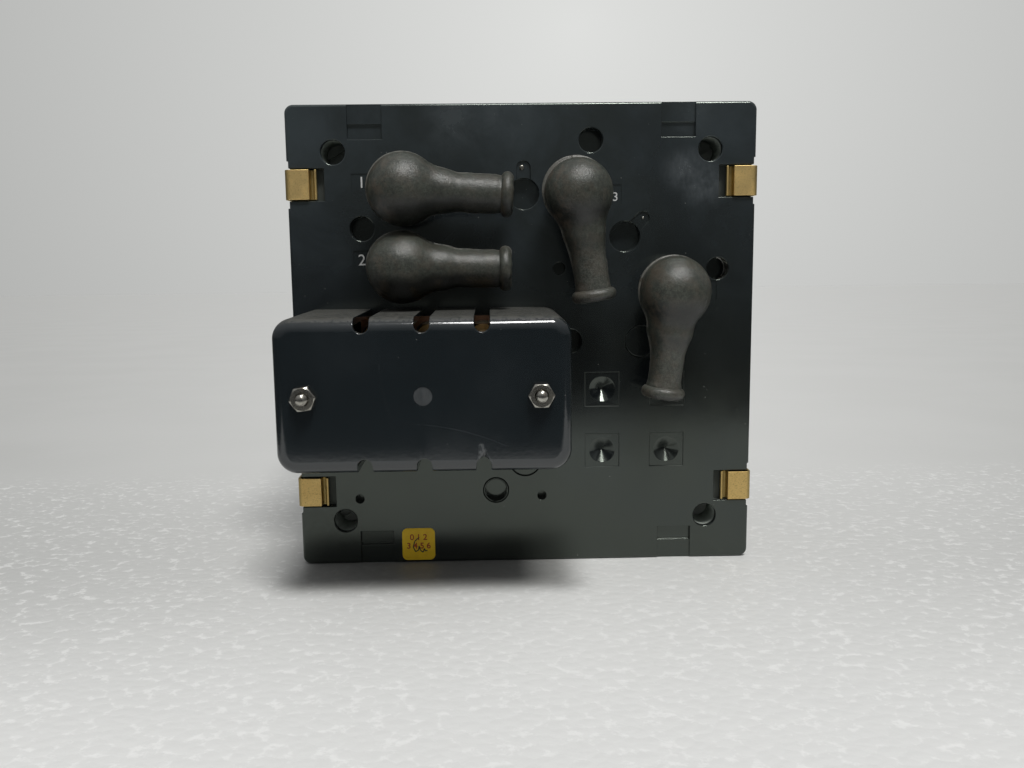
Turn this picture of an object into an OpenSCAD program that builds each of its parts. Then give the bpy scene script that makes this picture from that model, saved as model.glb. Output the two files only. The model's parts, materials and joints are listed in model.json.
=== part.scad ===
// Square panel instrument with screw terminals, rubber boots and a terminal cover on its back.
// +X is to the right as seen from behind, +Y points out of the dial and +Z is up.
// The origin is the centre of the panel cut-out, on the plane of the back of the bezel.

/* [Case] */
// Width and height of the case body
case_w = 137; // [132:0.5:180]
// Depth of the case behind the panel, rear base included
case_depth = 98; // [95:1:150]
// Corner radius of the case body
case_r = 2.5; // [1.5:0.1:4]
// Thickness of the case walls
wall = 2.5; // [2:0.1:4]
// Thickness of the moulded rear base
base_t = 7; // [6.5:0.1:10]
// Rounding of the outer edge of the rear base
base_edge_r = 0.8; // [0.3:0.1:1.2]
// Distance of each corner screw from the edges of the case
screw_inset = 13.5; // [12:0.1:15]
// Depth of the wells that the corner screws sit in
well_depth = 14; // [10:0.5:16]

/* [Bezel and window] */
// Reach of the bezel past each side of the case
bezel_lap = 3.5; // [2.5:0.1:6]
// Height of the bezel in front of the panel
bezel_h = 8; // [7:0.1:12]
// Rounding of the front edge of the bezel
bezel_edge_r = 1.2; // [0.5:0.1:2]
// Thickness of the window
glass_t = 2; // [1.5:0.1:3]
// Width of the bezel lip that covers the edge of the window
lip_w = 3; // [2:0.1:5]
// Thickness of the window gasket
gasket_t = 1.2; // [0.8:0.1:2]

/* [Rear base features] */
// Diameter of the open holes in the rear base
hole_d = 7; // [6:0.1:8]
// Side of the square recess round each conical pit
pit_square = 10.3; // [9:0.1:12]
// Diameter of each conical pit
pit_d = 7.7; // [6:0.1:8.5]
// Width of each panel clamp notch
notch_w = 10; // [8:0.1:12]
// Length of each panel clamp notch in from the edge
notch_l = 10; // [8:0.1:12]

/* [Clips] */
// Width of the spring clip strip
clip_w = 8.6; // [7:0.1:10]
// Thickness of the spring clip strip
clip_t = 0.6; // [0.4:0.05:0.8]
// Distance of each clip's centre from the top or bottom of the case
clip_inset = 22.7; // [20:0.1:25]
// Length of the clip along the side of the case
clip_leg = 28; // [20:0.5:36]

/* [Terminal cover] */
// Width of the terminal cover
cover_w = 77.4; // [74:0.2:84]
// Height of the terminal cover
cover_h = 40.8; // [38:0.2:42]
// Depth of the terminal cover
cover_d = 40; // [34:0.5:60]
// Wall of the terminal cover
cover_wall = 2; // [1.5:0.1:3]
// Corner radius of the terminal cover
cover_r = 5.5; // [4.5:0.1:7]
// Rounding of the front edge of the terminal cover
cover_edge_r = 3.5; // [2:0.1:4]
// Width of each cable slot
slot_w = 4; // [3:0.1:5]
// Reach of each cable slot into the front of the cover
slot_reach = 4; // [3.5:0.1:5]
// Distance between the cable slots, and between the phases
phase_pitch = 15.5; // [14.5:0.1:17]
// Distance between the two cover studs
cover_stud_pitch = 61.2; // [58:0.2:64]
// Diameter of the cover studs
cover_stud_d = 3; // [2.5:0.1:4]
// Width across the flats of the cover nuts
cover_nut_af = 6; // [5.5:0.1:8]

/* [Terminals] */
// Diameter of the single terminal studs under the boots
stud_d = 4; // [3.5:0.1:5]
// Height of the single terminal studs above the rear base
stud_h = 14; // [10:0.5:16]
// Diameter of the current terminal studs under the cover
bolt_d = 5; // [4:0.1:6]
// Height of the current terminal studs above the rear base
bolt_h = 26; // [18:0.5:30]
// Distance between the upper and lower current terminals
bolt_rows = 24; // [22:0.5:26]

/* [Boots] */
// Radius of the bulb of each boot
bulb_r = 10.4; // [9.6:0.1:10.6]
// Radius of the neck of each boot
neck_r = 5.1; // [4.5:0.1:6]
// Length from the centre of the bulb to the end of the neck
boot_reach = 31; // [28:0.5:33]
// Wall of each boot
boot_wall = 1.8; // [1.2:0.1:2]
// Radius of the hollow sweep from the bulb to the neck
shoulder_r = 18; // [14:0.5:24]
// Radius of the bead at the end of the neck
bead_r = 6.3; // [5.6:0.1:7.2]

/* [Dial and movement] */
// Distance from the panel plane back to the face of the dial
dial_back = 12; // [11:0.5:16]
// Length of the pointer from its pivot to its tip
pointer_l = 88; // [60:1:92]
// Radius of the magnet core
core_r = 10; // [8:0.2:11]
// Length of the magnet core along the pivot
core_l = 18; // [14:0.5:22]
// Free space on each side of the moving coil
coil_gap = 0.8; // [0.5:0.1:1]
// Radius of the pivot shafts
shaft_r = 1; // [0.8:0.05:1.4]
// Turns of each hairspring
spring_turns = 5; // [3:1:6]

/* [Clearances] */
// Gap between moulded pieces that slip together
fit_gap = 0.2; // [0.1:0.05:0.4]
// Radial gap of a shaft that turns in its hole
run_gap = 0.05; // [0.02:0.01:0.1]
// Gap between soft or sprung pieces and what they lie on
soft_gap = 0.3; // [0.2:0.05:0.5]

/* [Hidden] */
$fn = 64;
eps = 0.01;
press_gap = 0.02;
signs = [-1, 1];
corners = [[-1, -1], [1, -1], [1, 1], [-1, 1]];
half = case_w / 2;
inner_w = case_w - 2 * wall;

// Case screws, their wells and the corner blocks that they enter
screw_xy = half - screw_inset;
screw_turn = 30;
screw_d = 3.1;
screw_head_d = 6.6;
screw_head_h = 2.4;
screw_l = 15;
screw_room = 1;
well_wall = 1.4;
well_floor = 2;
well_d = hole_d + 2 * well_wall;
well_end = well_depth + well_floor;
block_in = screw_xy - well_d / 2 - fit_gap - well_wall;
block = inner_w / 2 - block_in;
rim_l = 76;
rim_t = 2;
rim_h = 3;

// Bezel, whose back has a rebate for the case and a spigot that enters it
bezel_w = case_w + 2 * bezel_lap;
bezel_corner_r = case_r + 0.5;
seat_step = 1;
spigot_w = inner_w - 2 * fit_gap;
spigot_wall = 1.6;
spigot_h = 3;

// Window stack, measured forward from the panel plane
pocket_w = spigot_w - 2 * spigot_wall;
glass_w = pocket_w - 2 * fit_gap;
window_w = glass_w - 2 * lip_w;
retainer_lip = 0.5;
retainer_in = window_w - 2 * retainer_lip;
lip_t = 1.6;
glass_back = bezel_h - lip_t - glass_t;
retainer_front = glass_back - gasket_t;

// Holes in the rear base, as [x, y] on its face
hole_depth = 5.5;
open_holes = [[20, half - 10.7], [-(half - 21.3), 33], [13.7, -0.8]];
insert_xy = [half - 10.8, 20.3];
insert_d = 10;
insert_core_d = 6.7;
insert_l = 5;
insert_lip = 1;
pin_holes = [[10.6, 20.8, 3.7], [-(half - 18), -48.2, 2.7], [5, -48, 2.7]];
pin_hole_depth = 4;
trim_hole = [-9, -46.1];
trim_hole_d = 6.5;
trim_hole_depth = 3.5;
trim_ring_t = 0.4;
key_marks = [[0.3, 42.6, 90], [30, 30, 45]];
key_mark_d = 9.1;
key_mark_depth = 2.8;
key_tab_w = 4;
key_tab_l = 9.5;
key_tab_depth = 0.5;
press_marks = [[34.9, -1.2], [0, -37]];
press_mark_d = 9.7;
groove_w = 0.3;
groove_depth = 0.5;
pit_x = [23.4, 43];
pit_y = [-15.5, -34.2];
pit_square_depth = 0.3;
pit_depth = 3;
pad_w = 5;
pad_h = 5.7;
pad_depth = 0.2;
notch_x = half - 22.9;
notch_step = 5.7;
notch_shallow = 0.8;
notch_deep = 1.4;

// Clip strip, as seen along the edge of the case
clip_y = half - clip_inset;
clip_room = 0.4;
clip_pocket = 10.8;
clip_channel_w = 13.5;
clip_channel_t = 0.6;
clip_bend_r = 1.8;
clip_rise = 0.2;
curl_r = 1;
curl_x = half + clip_t - curl_r;
hook_drop = 1;
hook_x = half - 5.9;
hook_in_r = 0.75;
hook_out_r = hook_in_r + clip_t;
lip_x = hook_x - clip_t - 2 * hook_in_r;
pocket_depth = hook_drop + hook_out_r + soft_gap - clip_rise;

// Terminal cover and what it hides
cover_x = -(half - 2.1 - cover_w / 2);
cover_y = -10.8;
column_d = 8;
gate_d = 5;
gate_depth = 0.15;
cover_nut_h = 2.4;
cover_stud_proud = 2.2;
cover_stud_in = 3;
phases = [-1, 0, 1];
plate_w = 10;
plate_t = 1.5;
plate_in = 5.3;
plate_out = cover_h / 2 - cover_wall - soft_gap - bolt_rows / 2;
bolt_washer_d = 9.6;
bolt_washer_t = 1;
bolt_nut_af = 8;
bolt_nut_h = 4;
bolt_in = 15;
barrier_t = 1.6;
barrier_h = 22;
barrier_inset = 4;
link_w = 6;
link_eye_d = 10;
link_t = 2;
link_drop = 11;
ring_d = 14;
ring_l = 7;

// Single terminals as [x, y, direction of the boot in degrees, offset of the label pad]
terminals = [[-34, 43.6, -2.3, [-13.4, 2.4]], [-34.8, 21.8, -0.7, [-12.6, 2]],
    [15.4, 42.3, -82, [11.1, -0.1]], [43.1, 14, -97.4, [12, -0.1]]];
washer_d = 9;
washer_t = 0.8;
nut_af = 7;
nut_h = 3.2;
stud_in = 6;
bulb_lift = 0.2;
boot_axis_h = bulb_r + bulb_lift;
skirt_r = 7.5;
boot_mouth_r = 5.2;
bead_half = 1.75;
shoulder_d = sqrt((bulb_r - neck_r) * (bulb_r + neck_r + 2 * shoulder_r));
sweep_angle = atan2(shoulder_d, neck_r + shoulder_r);
arc_steps = 12;

// Test sticker
sticker_w = 10;
sticker_r = 1.6;
sticker_t = 0.15;
sticker_xy = [-33, -(half - 5.8)];

// Chassis and board, measured back from the panel plane
board_room = 3;
board_back = case_depth - base_t - link_drop - ring_d / 2 - board_room;
board_gap = 12;
chassis_back = board_back - board_gap;
chassis_t = 2;
chassis_w = inner_w - 6;
chassis_screw = inner_w / 2 - 5.5;
chassis_screw_d = 3;
chassis_screw_head_d = 5.5;
chassis_screw_head_h = 2;
chassis_screw_l = 9;
board_w = 2 * block_in;
board_h = board_w - 2;
board_t = 1.6;
spacer_x = board_w / 2 - 5;
spacer_y = board_h / 2 - 6;
spacer_d = 5;
spacer_floor = 2;
board_screw_d = 2.5;
board_screw_head_d = 4.6;
board_screw_head_h = 1.6;
board_screw_l = 5;

// Supply transformer, capacitors and resistors, placed on the board as seen from the front
supply_xy = [-32, 16];
supply_w = 26;
supply_h = 20;
supply_d = 12;
capacitor_xy = [6, 30];
capacitor_d = 8;
capacitor_l = 11;
capacitor_pitch = 11;
capacitors = 3;
resistor_xy = [-34, -36];
resistor_d = 3;
resistor_l = 9;
resistor_pitch = 7;
resistors = 5;
resistor_lift = 2;
resistor_foot = [2, 6];

// Dial with its corner left open for the movement, drawn as seen from the front
dial_t = 1;
dial_w = inner_w - 8;
pivot_inset = 24;
pivot = inner_w / 2 - pivot_inset;
dial_cut_reach = 22;
dial_cut = pivot - dial_cut_reach;
post_d = 5;
post_screw_d = 2.5;
post_screw_l = 6;
post_head_d = 4.6;
post_head_h = 1.4;
post_screw_room = 1;
dial_post_x = dial_w / 2 - 6;
dial_posts_xy = [[-dial_post_x, 46], [dial_post_x, 46], [-dial_post_x, -46], [8, -dial_post_x]];
cap_left = 6;
cap_lap = 6;
cap_top = dial_cut - cap_lap;
cap_t = 1.2;
cap_post_d = 3.6;
cap_corner_r = 12;
cap_edge = retainer_in / 2 - soft_gap;
cap_posts_xy = [[cap_edge - 4, -(dial_cut - 3)], [14, -(cap_edge - 3)]];

// Movement, measured along the pivot from the panel plane, negative is behind it
pivot_xy = [pivot, -pivot];
bridge_angle = 45;
bridge_w = 8;
bridge_t = 2.5;
bridge_front = -1.5;
bridge_leg = 5;
coil_in = core_r + coil_gap;
coil_t = 2;
coil_w = 5;
coil_out = coil_in + coil_t;
magnet_gap = coil_gap - 0.2;
bore_r = sqrt(coil_out * coil_out + coil_w * coil_w / 4) + magnet_gap;
yoke_wall = 6.4;
yoke_r = bore_r + yoke_wall;
core_front = -22;
core_rear = core_front - core_l;
coil_clear = 1;
coil_end = 1.6;
coil_front = core_front + coil_clear + coil_end;
coil_rear = core_rear - coil_clear - coil_end;
spoke_w = 6;
yoke_post_angle = 135;
yoke_mid_r = (bore_r + yoke_r) / 2;
lever_t = 0.8;
lever_w = 4;
lever_eye = 2;
lever_front = -4.5;
collar_r = 2.5;
collar_h = 1.5;
cup_depth = 0.8;
jewel_d = 4;
jewel_proud = 0.7;
jewel_slot_w = 0.6;
spring_front = -5.8;
spring_w = 0.8;
spring_t = 0.35;
spring_in_r = shaft_r + 1;
spring_out_r = 9;
spring_end_angle = 330;
spring_steps = 24;
spring_tab_w = 2;
spring_tab_t = 1.2;
rear_spring_gap = 2;
rear_spring_front = coil_rear - rear_spring_gap;
rear_tab_l = 2.6;
rear_bridge_front = rear_spring_front - rear_tab_l;
pointer_front = -8.4;
pointer_t = 0.6;
pointer_rest = 180;
pointer_root_w = 3.2;
pointer_tip_w = 0.8;
pointer_tail = 14;
hub_r = 3.5;
weight_d = 5;
weight_r = 11;
weight_h = 1.6;

// Zero adjuster in the window and its crank pin in the fork of the lever
zero_xy = [pivot - 26, -(pivot + 8)];
zero_r = 3;
zero_neck_r = 1.5;
zero_flange_r = 4.2;
zero_flange_t = 1;
zero_proud = 1.2;
zero_slot_w = 1;
zero_slot_d = 0.7;
crank_r = 2;
crank_pin_r = 0.8;
crank_pin_end = -6;
fork_gap = 0.15;
fork_room = 0.5;
zero_dx = zero_xy[0] - pivot_xy[0];
zero_dy = zero_xy[1] - pivot_xy[1];
zero_reach = sqrt(zero_dx * zero_dx + zero_dy * zero_dy);
zero_angle = atan2(zero_dy, zero_dx);

// Places children on the rear face: x right, y up, z out of the face
module rear(x = 0, y = 0, z = 0) {
    translate([x, -case_depth - z, y]) rotate([90, 0, 0]) children();
}

// Places children on the panel plane as seen from the front: x right, y up, z towards the viewer
module front(x = 0, y = 0, z = 0) {
    translate([-x, z, y]) rotate([90, 0, 180]) children();
}

// Places children on the pivot of the movement
module at_pivot(z = 0) {
    front(pivot_xy[0], pivot_xy[1], z) children();
}

module rounded_rect(w, h, r) {
    square([w - 2 * r, h], center = true);
    square([w, h - 2 * r], center = true);
    for (c = corners)
        translate([c[0] * (w / 2 - r), c[1] * (h / 2 - r)]) circle(r);
}

module square_ring(outer, inner) {
    difference() {
        square(outer, center = true);
        square(inner, center = true);
    }
}

// Block with rounded corners whose upper edge is rounded too
module soft_box(w, h, d, corner_r, edge_r) {
    in_x = w / 2 - corner_r;
    in_y = h / 2 - corner_r;
    linear_extrude(d - edge_r) rounded_rect(w, h, corner_r);
    translate([0, 0, d - edge_r]) {
        linear_extrude(edge_r) {
            square([2 * in_x, h - 2 * edge_r], center = true);
            square([w - 2 * edge_r, 2 * in_y], center = true);
        }
        for (a = [0, 180])
            rotate(a) {
                translate([-in_x, h / 2 - edge_r, 0]) rotate([90, 0, 90])
                    linear_extrude(2 * in_x) quarter_disc(edge_r);
                translate([w / 2 - edge_r, in_y, 0]) rotate([90, 0, 0])
                    linear_extrude(2 * in_y) quarter_disc(edge_r);
            }
        for (i = [0:3])
            translate([corners[i][0] * in_x, corners[i][1] * in_y, 0]) rotate(90 * i + 180)
                rotate_extrude(angle = 90) {
                    square([corner_r - edge_r, edge_r]);
                    translate([corner_r - edge_r, 0]) quarter_disc(edge_r);
                }
    }
}

module quarter_disc(r) {
    intersection() {
        circle(r);
        square(r);
    }
}

module hex_nut(af, h, hole_r) {
    difference() {
        intersection() {
            cylinder(d = af / cos(30), h = h, $fn = 6);
            cylinder(r1 = af / 2 + h, r2 = af / 2, h = h);
        }
        translate([0, 0, -eps]) cylinder(r = hole_r, h = h + 2 * eps);
    }
}

module washer(d, t, hole_r) {
    difference() {
        cylinder(d = d, h = t);
        translate([0, 0, -eps]) cylinder(r = hole_r, h = t + 2 * eps);
    }
}

// Stud along z with a bevelled top
module stud(d, low, high) {
    bevel = d / 4;
    translate([0, 0, low]) cylinder(d = d, h = high - low - bevel);
    translate([0, 0, high - bevel]) cylinder(r1 = d / 2, r2 = d / 2 - bevel, h = bevel);
}

// Slotted pan-head screw whose head sits on z = 0 and whose shank points down
module screw(head_d, head_h, shank_d, shank_l) {
    difference() {
        cylinder(d = head_d, h = head_h);
        translate([-head_d, -head_d / 12, head_h / 2]) cube([2 * head_d, head_d / 6, head_h]);
    }
    translate([0, 0, -shank_l]) cylinder(d = shank_d, h = shank_l);
}

module at_corners(d) {
    for (c = corners) translate([c[0] * d, c[1] * d]) children();
}

module at_bolts() {
    for (p = phases, s = signs)
        translate([cover_x + p * phase_pitch, cover_y + s * bolt_rows / 2]) children();
}

module at_terminals() {
    for (t = terminals) translate([t[0], t[1]]) children();
}

module at_cover_studs() {
    for (s = signs) translate([cover_x + s * cover_stud_pitch / 2, cover_y]) children();
}

// Rear base
module key_mark(angle) {
    translate([0, 0, -key_mark_depth]) cylinder(d = key_mark_d, h = key_mark_depth + eps);
    rotate(angle) {
        translate([0, -key_tab_w / 2, -key_tab_depth])
            cube([key_tab_l - key_tab_w / 2, key_tab_w, key_tab_depth + eps]);
        translate([key_tab_l - key_tab_w / 2, 0, -key_tab_depth])
            cylinder(d = key_tab_w, h = key_tab_depth + eps);
    }
}

module pit() {
    translate([-pit_square / 2, -pit_square / 2, -pit_square_depth])
        cube([pit_square, pit_square, pit_square_depth + eps]);
    translate([0, 0, -pit_depth])
        cylinder(r1 = 0, d2 = pit_d, h = pit_depth - pit_square_depth + eps);
}

module ring_groove(d) {
    translate([0, 0, -groove_depth]) difference() {
        cylinder(d = d, h = groove_depth + eps);
        translate([0, 0, -eps]) cylinder(d = d - 2 * groove_w, h = groove_depth + 3 * eps);
    }
}

// Two-step notch whose inner end is deeper, open at the edge of the case
module clamp_notch() {
    translate([-notch_w / 2, half - notch_l, -notch_deep])
        cube([notch_w, notch_l - notch_step, notch_deep + eps]);
    translate([-notch_w / 2, half - notch_step - eps, -notch_shallow])
        cube([notch_w, notch_step + 1, notch_shallow + eps]);
}

module clip_pocket_cut() {
    translate([half - clip_pocket, -clip_w / 2 - clip_room, -pocket_depth])
        cube([clip_pocket + 1, clip_w + 2 * clip_room, pocket_depth + eps]);
}

module clip_channel(length) {
    translate([half - clip_channel_t, -clip_channel_w / 2, -length])
        cube([clip_channel_t + 1, clip_channel_w, length + eps]);
}

// Repeats children, drawn for the right-hand edge, on both sides at both clip heights
module at_clips() {
    for (s = signs, m = [0, 1])
        mirror([m, 0, 0]) translate([0, s * clip_y, 0]) children();
}

module rear_base() {
    barrier_l = cover_h - 2 * barrier_inset;
    color("#17181a") rear() {
        difference() {
            union() {
                translate([0, 0, -base_t]) soft_box(case_w, case_w, base_t, case_r, base_edge_r);
                translate([0, 0, -well_end]) at_corners(screw_xy)
                    cylinder(d = well_d, h = well_end - base_t + eps);
            }
            at_corners(screw_xy) {
                translate([0, 0, -well_depth]) cylinder(d = hole_d, h = well_depth + eps);
                translate([0, 0, -well_end - eps]) cylinder(d = screw_d + 2 * fit_gap, h = well_end);
            }
            for (p = open_holes)
                translate([p[0], p[1], -hole_depth]) cylinder(d = hole_d, h = hole_depth + eps);
            translate([insert_xy[0], insert_xy[1], -insert_lip - insert_l]) {
                cylinder(d = insert_d + 2 * press_gap, h = insert_l);
                cylinder(d = insert_core_d, h = insert_l + insert_lip + eps);
            }
            for (p = pin_holes)
                translate([p[0], p[1], -pin_hole_depth]) cylinder(d = p[2], h = pin_hole_depth + eps);
            translate([trim_hole[0], trim_hole[1], -trim_hole_depth])
                cylinder(d = trim_hole_d, h = trim_hole_depth + eps);
            translate([trim_hole[0], trim_hole[1], 0])
                ring_groove(trim_hole_d + 2 * (trim_ring_t + groove_w));
            for (k = key_marks)
                translate([k[0], k[1], 0]) key_mark(k[2]);
            for (p = press_marks)
                translate([p[0], p[1], 0]) ring_groove(press_mark_d);
            for (x = pit_x, y = pit_y)
                translate([x, y, 0]) pit();
            for (t = terminals)
                translate([t[0] + t[3][0] - pad_w / 2, t[1] + t[3][1] - pad_h / 2, -pad_depth])
                    cube([pad_w, pad_h, pad_depth + eps]);
            for (s = signs, m = [0, 1])
                mirror([0, m, 0]) translate([s * notch_x, 0, 0]) clamp_notch();
            at_clips() {
                clip_pocket_cut();
                clip_channel(base_t + 1);
            }
            translate([0, 0, -base_t - eps]) {
                at_terminals() cylinder(d = stud_d + 2 * run_gap, h = base_t + 1);
                at_bolts() cylinder(d = bolt_d + 2 * run_gap, h = base_t + 1);
                at_cover_studs() cylinder(d = cover_stud_d + 2 * run_gap, h = base_t + 1);
            }
        }
        for (s = signs)
            translate([cover_x + s * phase_pitch / 2 - barrier_t / 2, cover_y - barrier_l / 2, -eps])
                cube([barrier_t, barrier_l, barrier_h]);
        for (a = [0:90:270])
            rotate(a) translate([inner_w / 2 - fit_gap - rim_t, -rim_l / 2, -base_t - rim_h])
                cube([rim_t, rim_l, rim_h + eps]);
    }
}

// Case, bezel and window
module front_case() {
    shell_l = case_depth + seat_step - base_t;
    block_l = case_depth - base_t - chassis_back;
    block_at = block_in + block / 2 + wall / 2;
    color("#1b1c1e") rear() {
        difference() {
            union() {
                translate([0, 0, -case_depth - seat_step]) linear_extrude(shell_l) difference() {
                    rounded_rect(case_w, case_w, case_r);
                    square(inner_w, center = true);
                }
                translate([0, 0, -base_t - block_l]) linear_extrude(block_l)
                    at_corners(block_at) rounded_rect(block + wall, block + wall, case_r);
            }
            at_corners(screw_xy) {
                translate([0, 0, -well_end - fit_gap]) cylinder(d = well_d + 2 * fit_gap, h = well_end);
                translate([0, 0, -well_depth - screw_l - screw_room])
                    cylinder(d = screw_d + 2 * run_gap, h = screw_l);
            }
            at_corners(chassis_screw)
                translate([0, 0, -base_t - block_l - eps])
                    cylinder(d = chassis_screw_d + 2 * run_gap, h = chassis_screw_l);
            at_clips() {
                clip_channel(clip_leg + 2 * curl_r);
                translate([curl_x, 0, -clip_leg]) rotate([90, 0, 0])
                    cylinder(r = curl_r + run_gap, h = clip_channel_w, center = true);
            }
        }
    }
}

module bezel_frame() {
    color("#141416") front() difference() {
        union() {
            difference() {
                soft_box(bezel_w, bezel_w, bezel_h, bezel_corner_r, bezel_edge_r);
                translate([0, 0, -eps]) linear_extrude(seat_step + eps)
                    square(case_w + 2 * fit_gap, center = true);
            }
            translate([0, 0, -spigot_h]) linear_extrude(spigot_h + seat_step + eps)
                square(spigot_w, center = true);
        }
        translate([0, 0, -spigot_h - eps]) linear_extrude(spigot_h + bezel_h - lip_t + eps)
            square(pocket_w, center = true);
        linear_extrude(bezel_h + 1) square(window_w, center = true);
    }
}

module front_glass() {
    color("#c9d8dc", 0.35) front(0, 0, glass_back) difference() {
        linear_extrude(glass_t) square(glass_w, center = true);
        translate([zero_xy[0], zero_xy[1], -eps])
            cylinder(r = zero_neck_r + run_gap, h = glass_t + 2 * eps);
    }
}

module glass_gasket() {
    color("#2a2b2c") front(0, 0, retainer_front)
        linear_extrude(gasket_t) square_ring(glass_w, window_w);
}

module glass_retainer() {
    color("#202124") front(0, 0, -spigot_h)
        linear_extrude(spigot_h + retainer_front) square_ring(glass_w, retainer_in);
}

module case_screws() {
    color("#6b6c6a") rear(0, 0, -well_depth) at_corners(screw_xy)
        rotate(screw_turn) screw(screw_head_d, screw_head_h, screw_d, screw_l);
}

module thread_insert() {
    color("#8d8468") rear(insert_xy[0], insert_xy[1], -insert_lip - insert_l)
        washer(insert_d, insert_l, insert_core_d / 2);
}

// Spring clips that hold the rear base on the case
module clip_outline() {
    flat_top = clip_rise + clip_t;
    bend_x = half + clip_t - clip_bend_r;
    bend_y = flat_top - clip_bend_r;
    translate([half, -clip_leg]) square([clip_t, clip_leg + bend_y]);
    translate([curl_x, -clip_leg]) circle(curl_r);
    intersection() {
        translate([bend_x, bend_y]) difference() {
            circle(clip_bend_r);
            circle(clip_bend_r - clip_t);
        }
        translate([bend_x, bend_y]) square(clip_bend_r);
    }
    translate([hook_x - clip_t, clip_rise]) square([bend_x - hook_x + clip_t + eps, clip_t]);
    translate([hook_x - clip_t, clip_rise - hook_drop]) square([clip_t, hook_drop + eps]);
    translate([lip_x - clip_t, clip_rise - hook_drop]) square([clip_t, hook_drop + eps]);
    intersection() {
        translate([lip_x + hook_in_r, clip_rise - hook_drop]) difference() {
            circle(hook_out_r);
            circle(hook_in_r);
        }
        translate([lip_x - clip_t, clip_rise - hook_drop - hook_out_r])
            square([2 * hook_out_r, hook_out_r + eps]);
    }
}

module clip(side, level) {
    color("#b8954c") rear() mirror([side < 0 ? 1 : 0, 0, 0])
        translate([0, level * clip_y + clip_w / 2, 0]) rotate([90, 0, 0])
            linear_extrude(clip_w) clip_outline();
}

module clip_top_left() { clip(-1, 1); }
module clip_top_right() { clip(1, 1); }
module clip_bottom_left() { clip(-1, -1); }
module clip_bottom_right() { clip(1, -1); }

// Terminal cover and its studs
module slot_cut() {
    end_y = cover_h / 2 - slot_reach + slot_w / 2;
    translate([0, 0, -eps]) linear_extrude(cover_d + 1) {
        translate([0, end_y]) circle(d = slot_w);
        translate([-slot_w / 2, end_y]) square([slot_w, slot_reach]);
    }
}

module terminal_cover() {
    color("#1a1c22") rear(cover_x, cover_y) difference() {
        union() {
            difference() {
                soft_box(cover_w, cover_h, cover_d, cover_r, cover_edge_r);
                translate([0, 0, -eps]) linear_extrude(cover_d - cover_wall)
                    rounded_rect(cover_w - 2 * cover_wall, cover_h - 2 * cover_wall, cover_r - cover_wall);
            }
            for (s = signs)
                translate([s * cover_stud_pitch / 2, 0, 0]) cylinder(d = column_d, h = cover_d - 1);
        }
        for (s = signs)
            translate([s * cover_stud_pitch / 2, 0, -eps])
                cylinder(d = cover_stud_d + 2 * fit_gap, h = cover_d + 1);
        for (p = phases, m = [0, 1])
            mirror([0, m, 0]) translate([p * phase_pitch, 0, 0]) slot_cut();
        translate([0, 0, cover_d - gate_depth]) cylinder(d = gate_d, h = 1);
    }
}

module cover_studs() {
    color("#b9b6aa") rear() at_cover_studs()
        stud(cover_stud_d, -base_t - cover_stud_in, cover_d + cover_nut_h + cover_stud_proud);
}

module cover_nut(side, turn) {
    color("#b9b6aa") rear(cover_x + side * cover_stud_pitch / 2, cover_y, cover_d)
        rotate(turn) hex_nut(cover_nut_af, cover_nut_h, cover_stud_d / 2 + run_gap);
}

module cover_nut_left() { cover_nut(-1, 8); }
module cover_nut_right() { cover_nut(1, 0); }

// Current terminals under the cover
module current_studs() {
    color("#c2a05a") rear() at_bolts() stud(bolt_d, -base_t - bolt_in, bolt_h);
}

module current_plates() {
    color("#b5764a") rear() for (p = phases, m = [0, 1])
        translate([cover_x + p * phase_pitch, cover_y, 0]) mirror([0, m, 0])
            translate([0, bolt_rows / 2, 0]) difference() {
                translate([-plate_w / 2, -plate_in, 0]) cube([plate_w, plate_in + plate_out, plate_t]);
                translate([0, 0, -eps]) cylinder(d = bolt_d + 2 * run_gap, h = plate_t + 2 * eps);
            }
}

module current_washers() {
    color("#c9c4b0") rear(0, 0, plate_t) at_bolts()
        washer(bolt_washer_d, bolt_washer_t, bolt_d / 2 + run_gap);
}

module current_nuts() {
    color("#c8a765") rear(0, 0, plate_t + bolt_washer_t) at_bolts()
        hex_nut(bolt_nut_af, bolt_nut_h, bolt_d / 2 + run_gap);
}

// Copper bars that join each upper stud to the lower one inside the case
module current_links() {
    color("#b5764a") rear(0, 0, -base_t - link_drop) for (p = phases)
        translate([cover_x + p * phase_pitch, cover_y, 0]) difference() {
            union() {
                cube([link_w, bolt_rows, link_t], center = true);
                for (s = signs)
                    translate([0, s * bolt_rows / 2, 0])
                        cylinder(d = link_eye_d, h = link_t, center = true);
            }
            for (s = signs)
                translate([0, s * bolt_rows / 2, 0])
                    cylinder(d = bolt_d + 2 * run_gap, h = 2 * link_t, center = true);
        }
}

module current_transformers() {
    color("#9c8a4a") rear(0, 0, -base_t - link_drop) for (p = phases)
        translate([cover_x + p * phase_pitch, cover_y, 0]) difference() {
            rotate([90, 0, 0]) cylinder(d = ring_d, h = ring_l, center = true);
            cube([link_w + 2 * run_gap, 2 * ring_l, link_t + 2 * run_gap], center = true);
        }
}

// Single terminals under the boots
module voltage_studs() {
    color("#c2a05a") rear() at_terminals() stud(stud_d, -base_t - stud_in, stud_h);
}

module voltage_washers() {
    color("#c9c4b0") rear() at_terminals() washer(washer_d, washer_t, stud_d / 2 + run_gap);
}

module voltage_nuts() {
    color("#c8a765") rear(0, 0, washer_t) at_terminals() hex_nut(nut_af, nut_h, stud_d / 2 + run_gap);
}

// Half outline of a boot, drawn along y from the centre of the bulb and shrunk by inset
function arc(c, r, from, to) =
    [for (i = [0:arc_steps]) c + r * [cos(from + (to - from) * i / arc_steps),
                                      sin(from + (to - from) * i / arc_steps)]];

function boot_side(inset) =
    concat(arc([0, 0], bulb_r - inset, -90, sweep_angle),
           arc([neck_r + shoulder_r, shoulder_d], shoulder_r + inset, sweep_angle + 180, 180));

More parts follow.
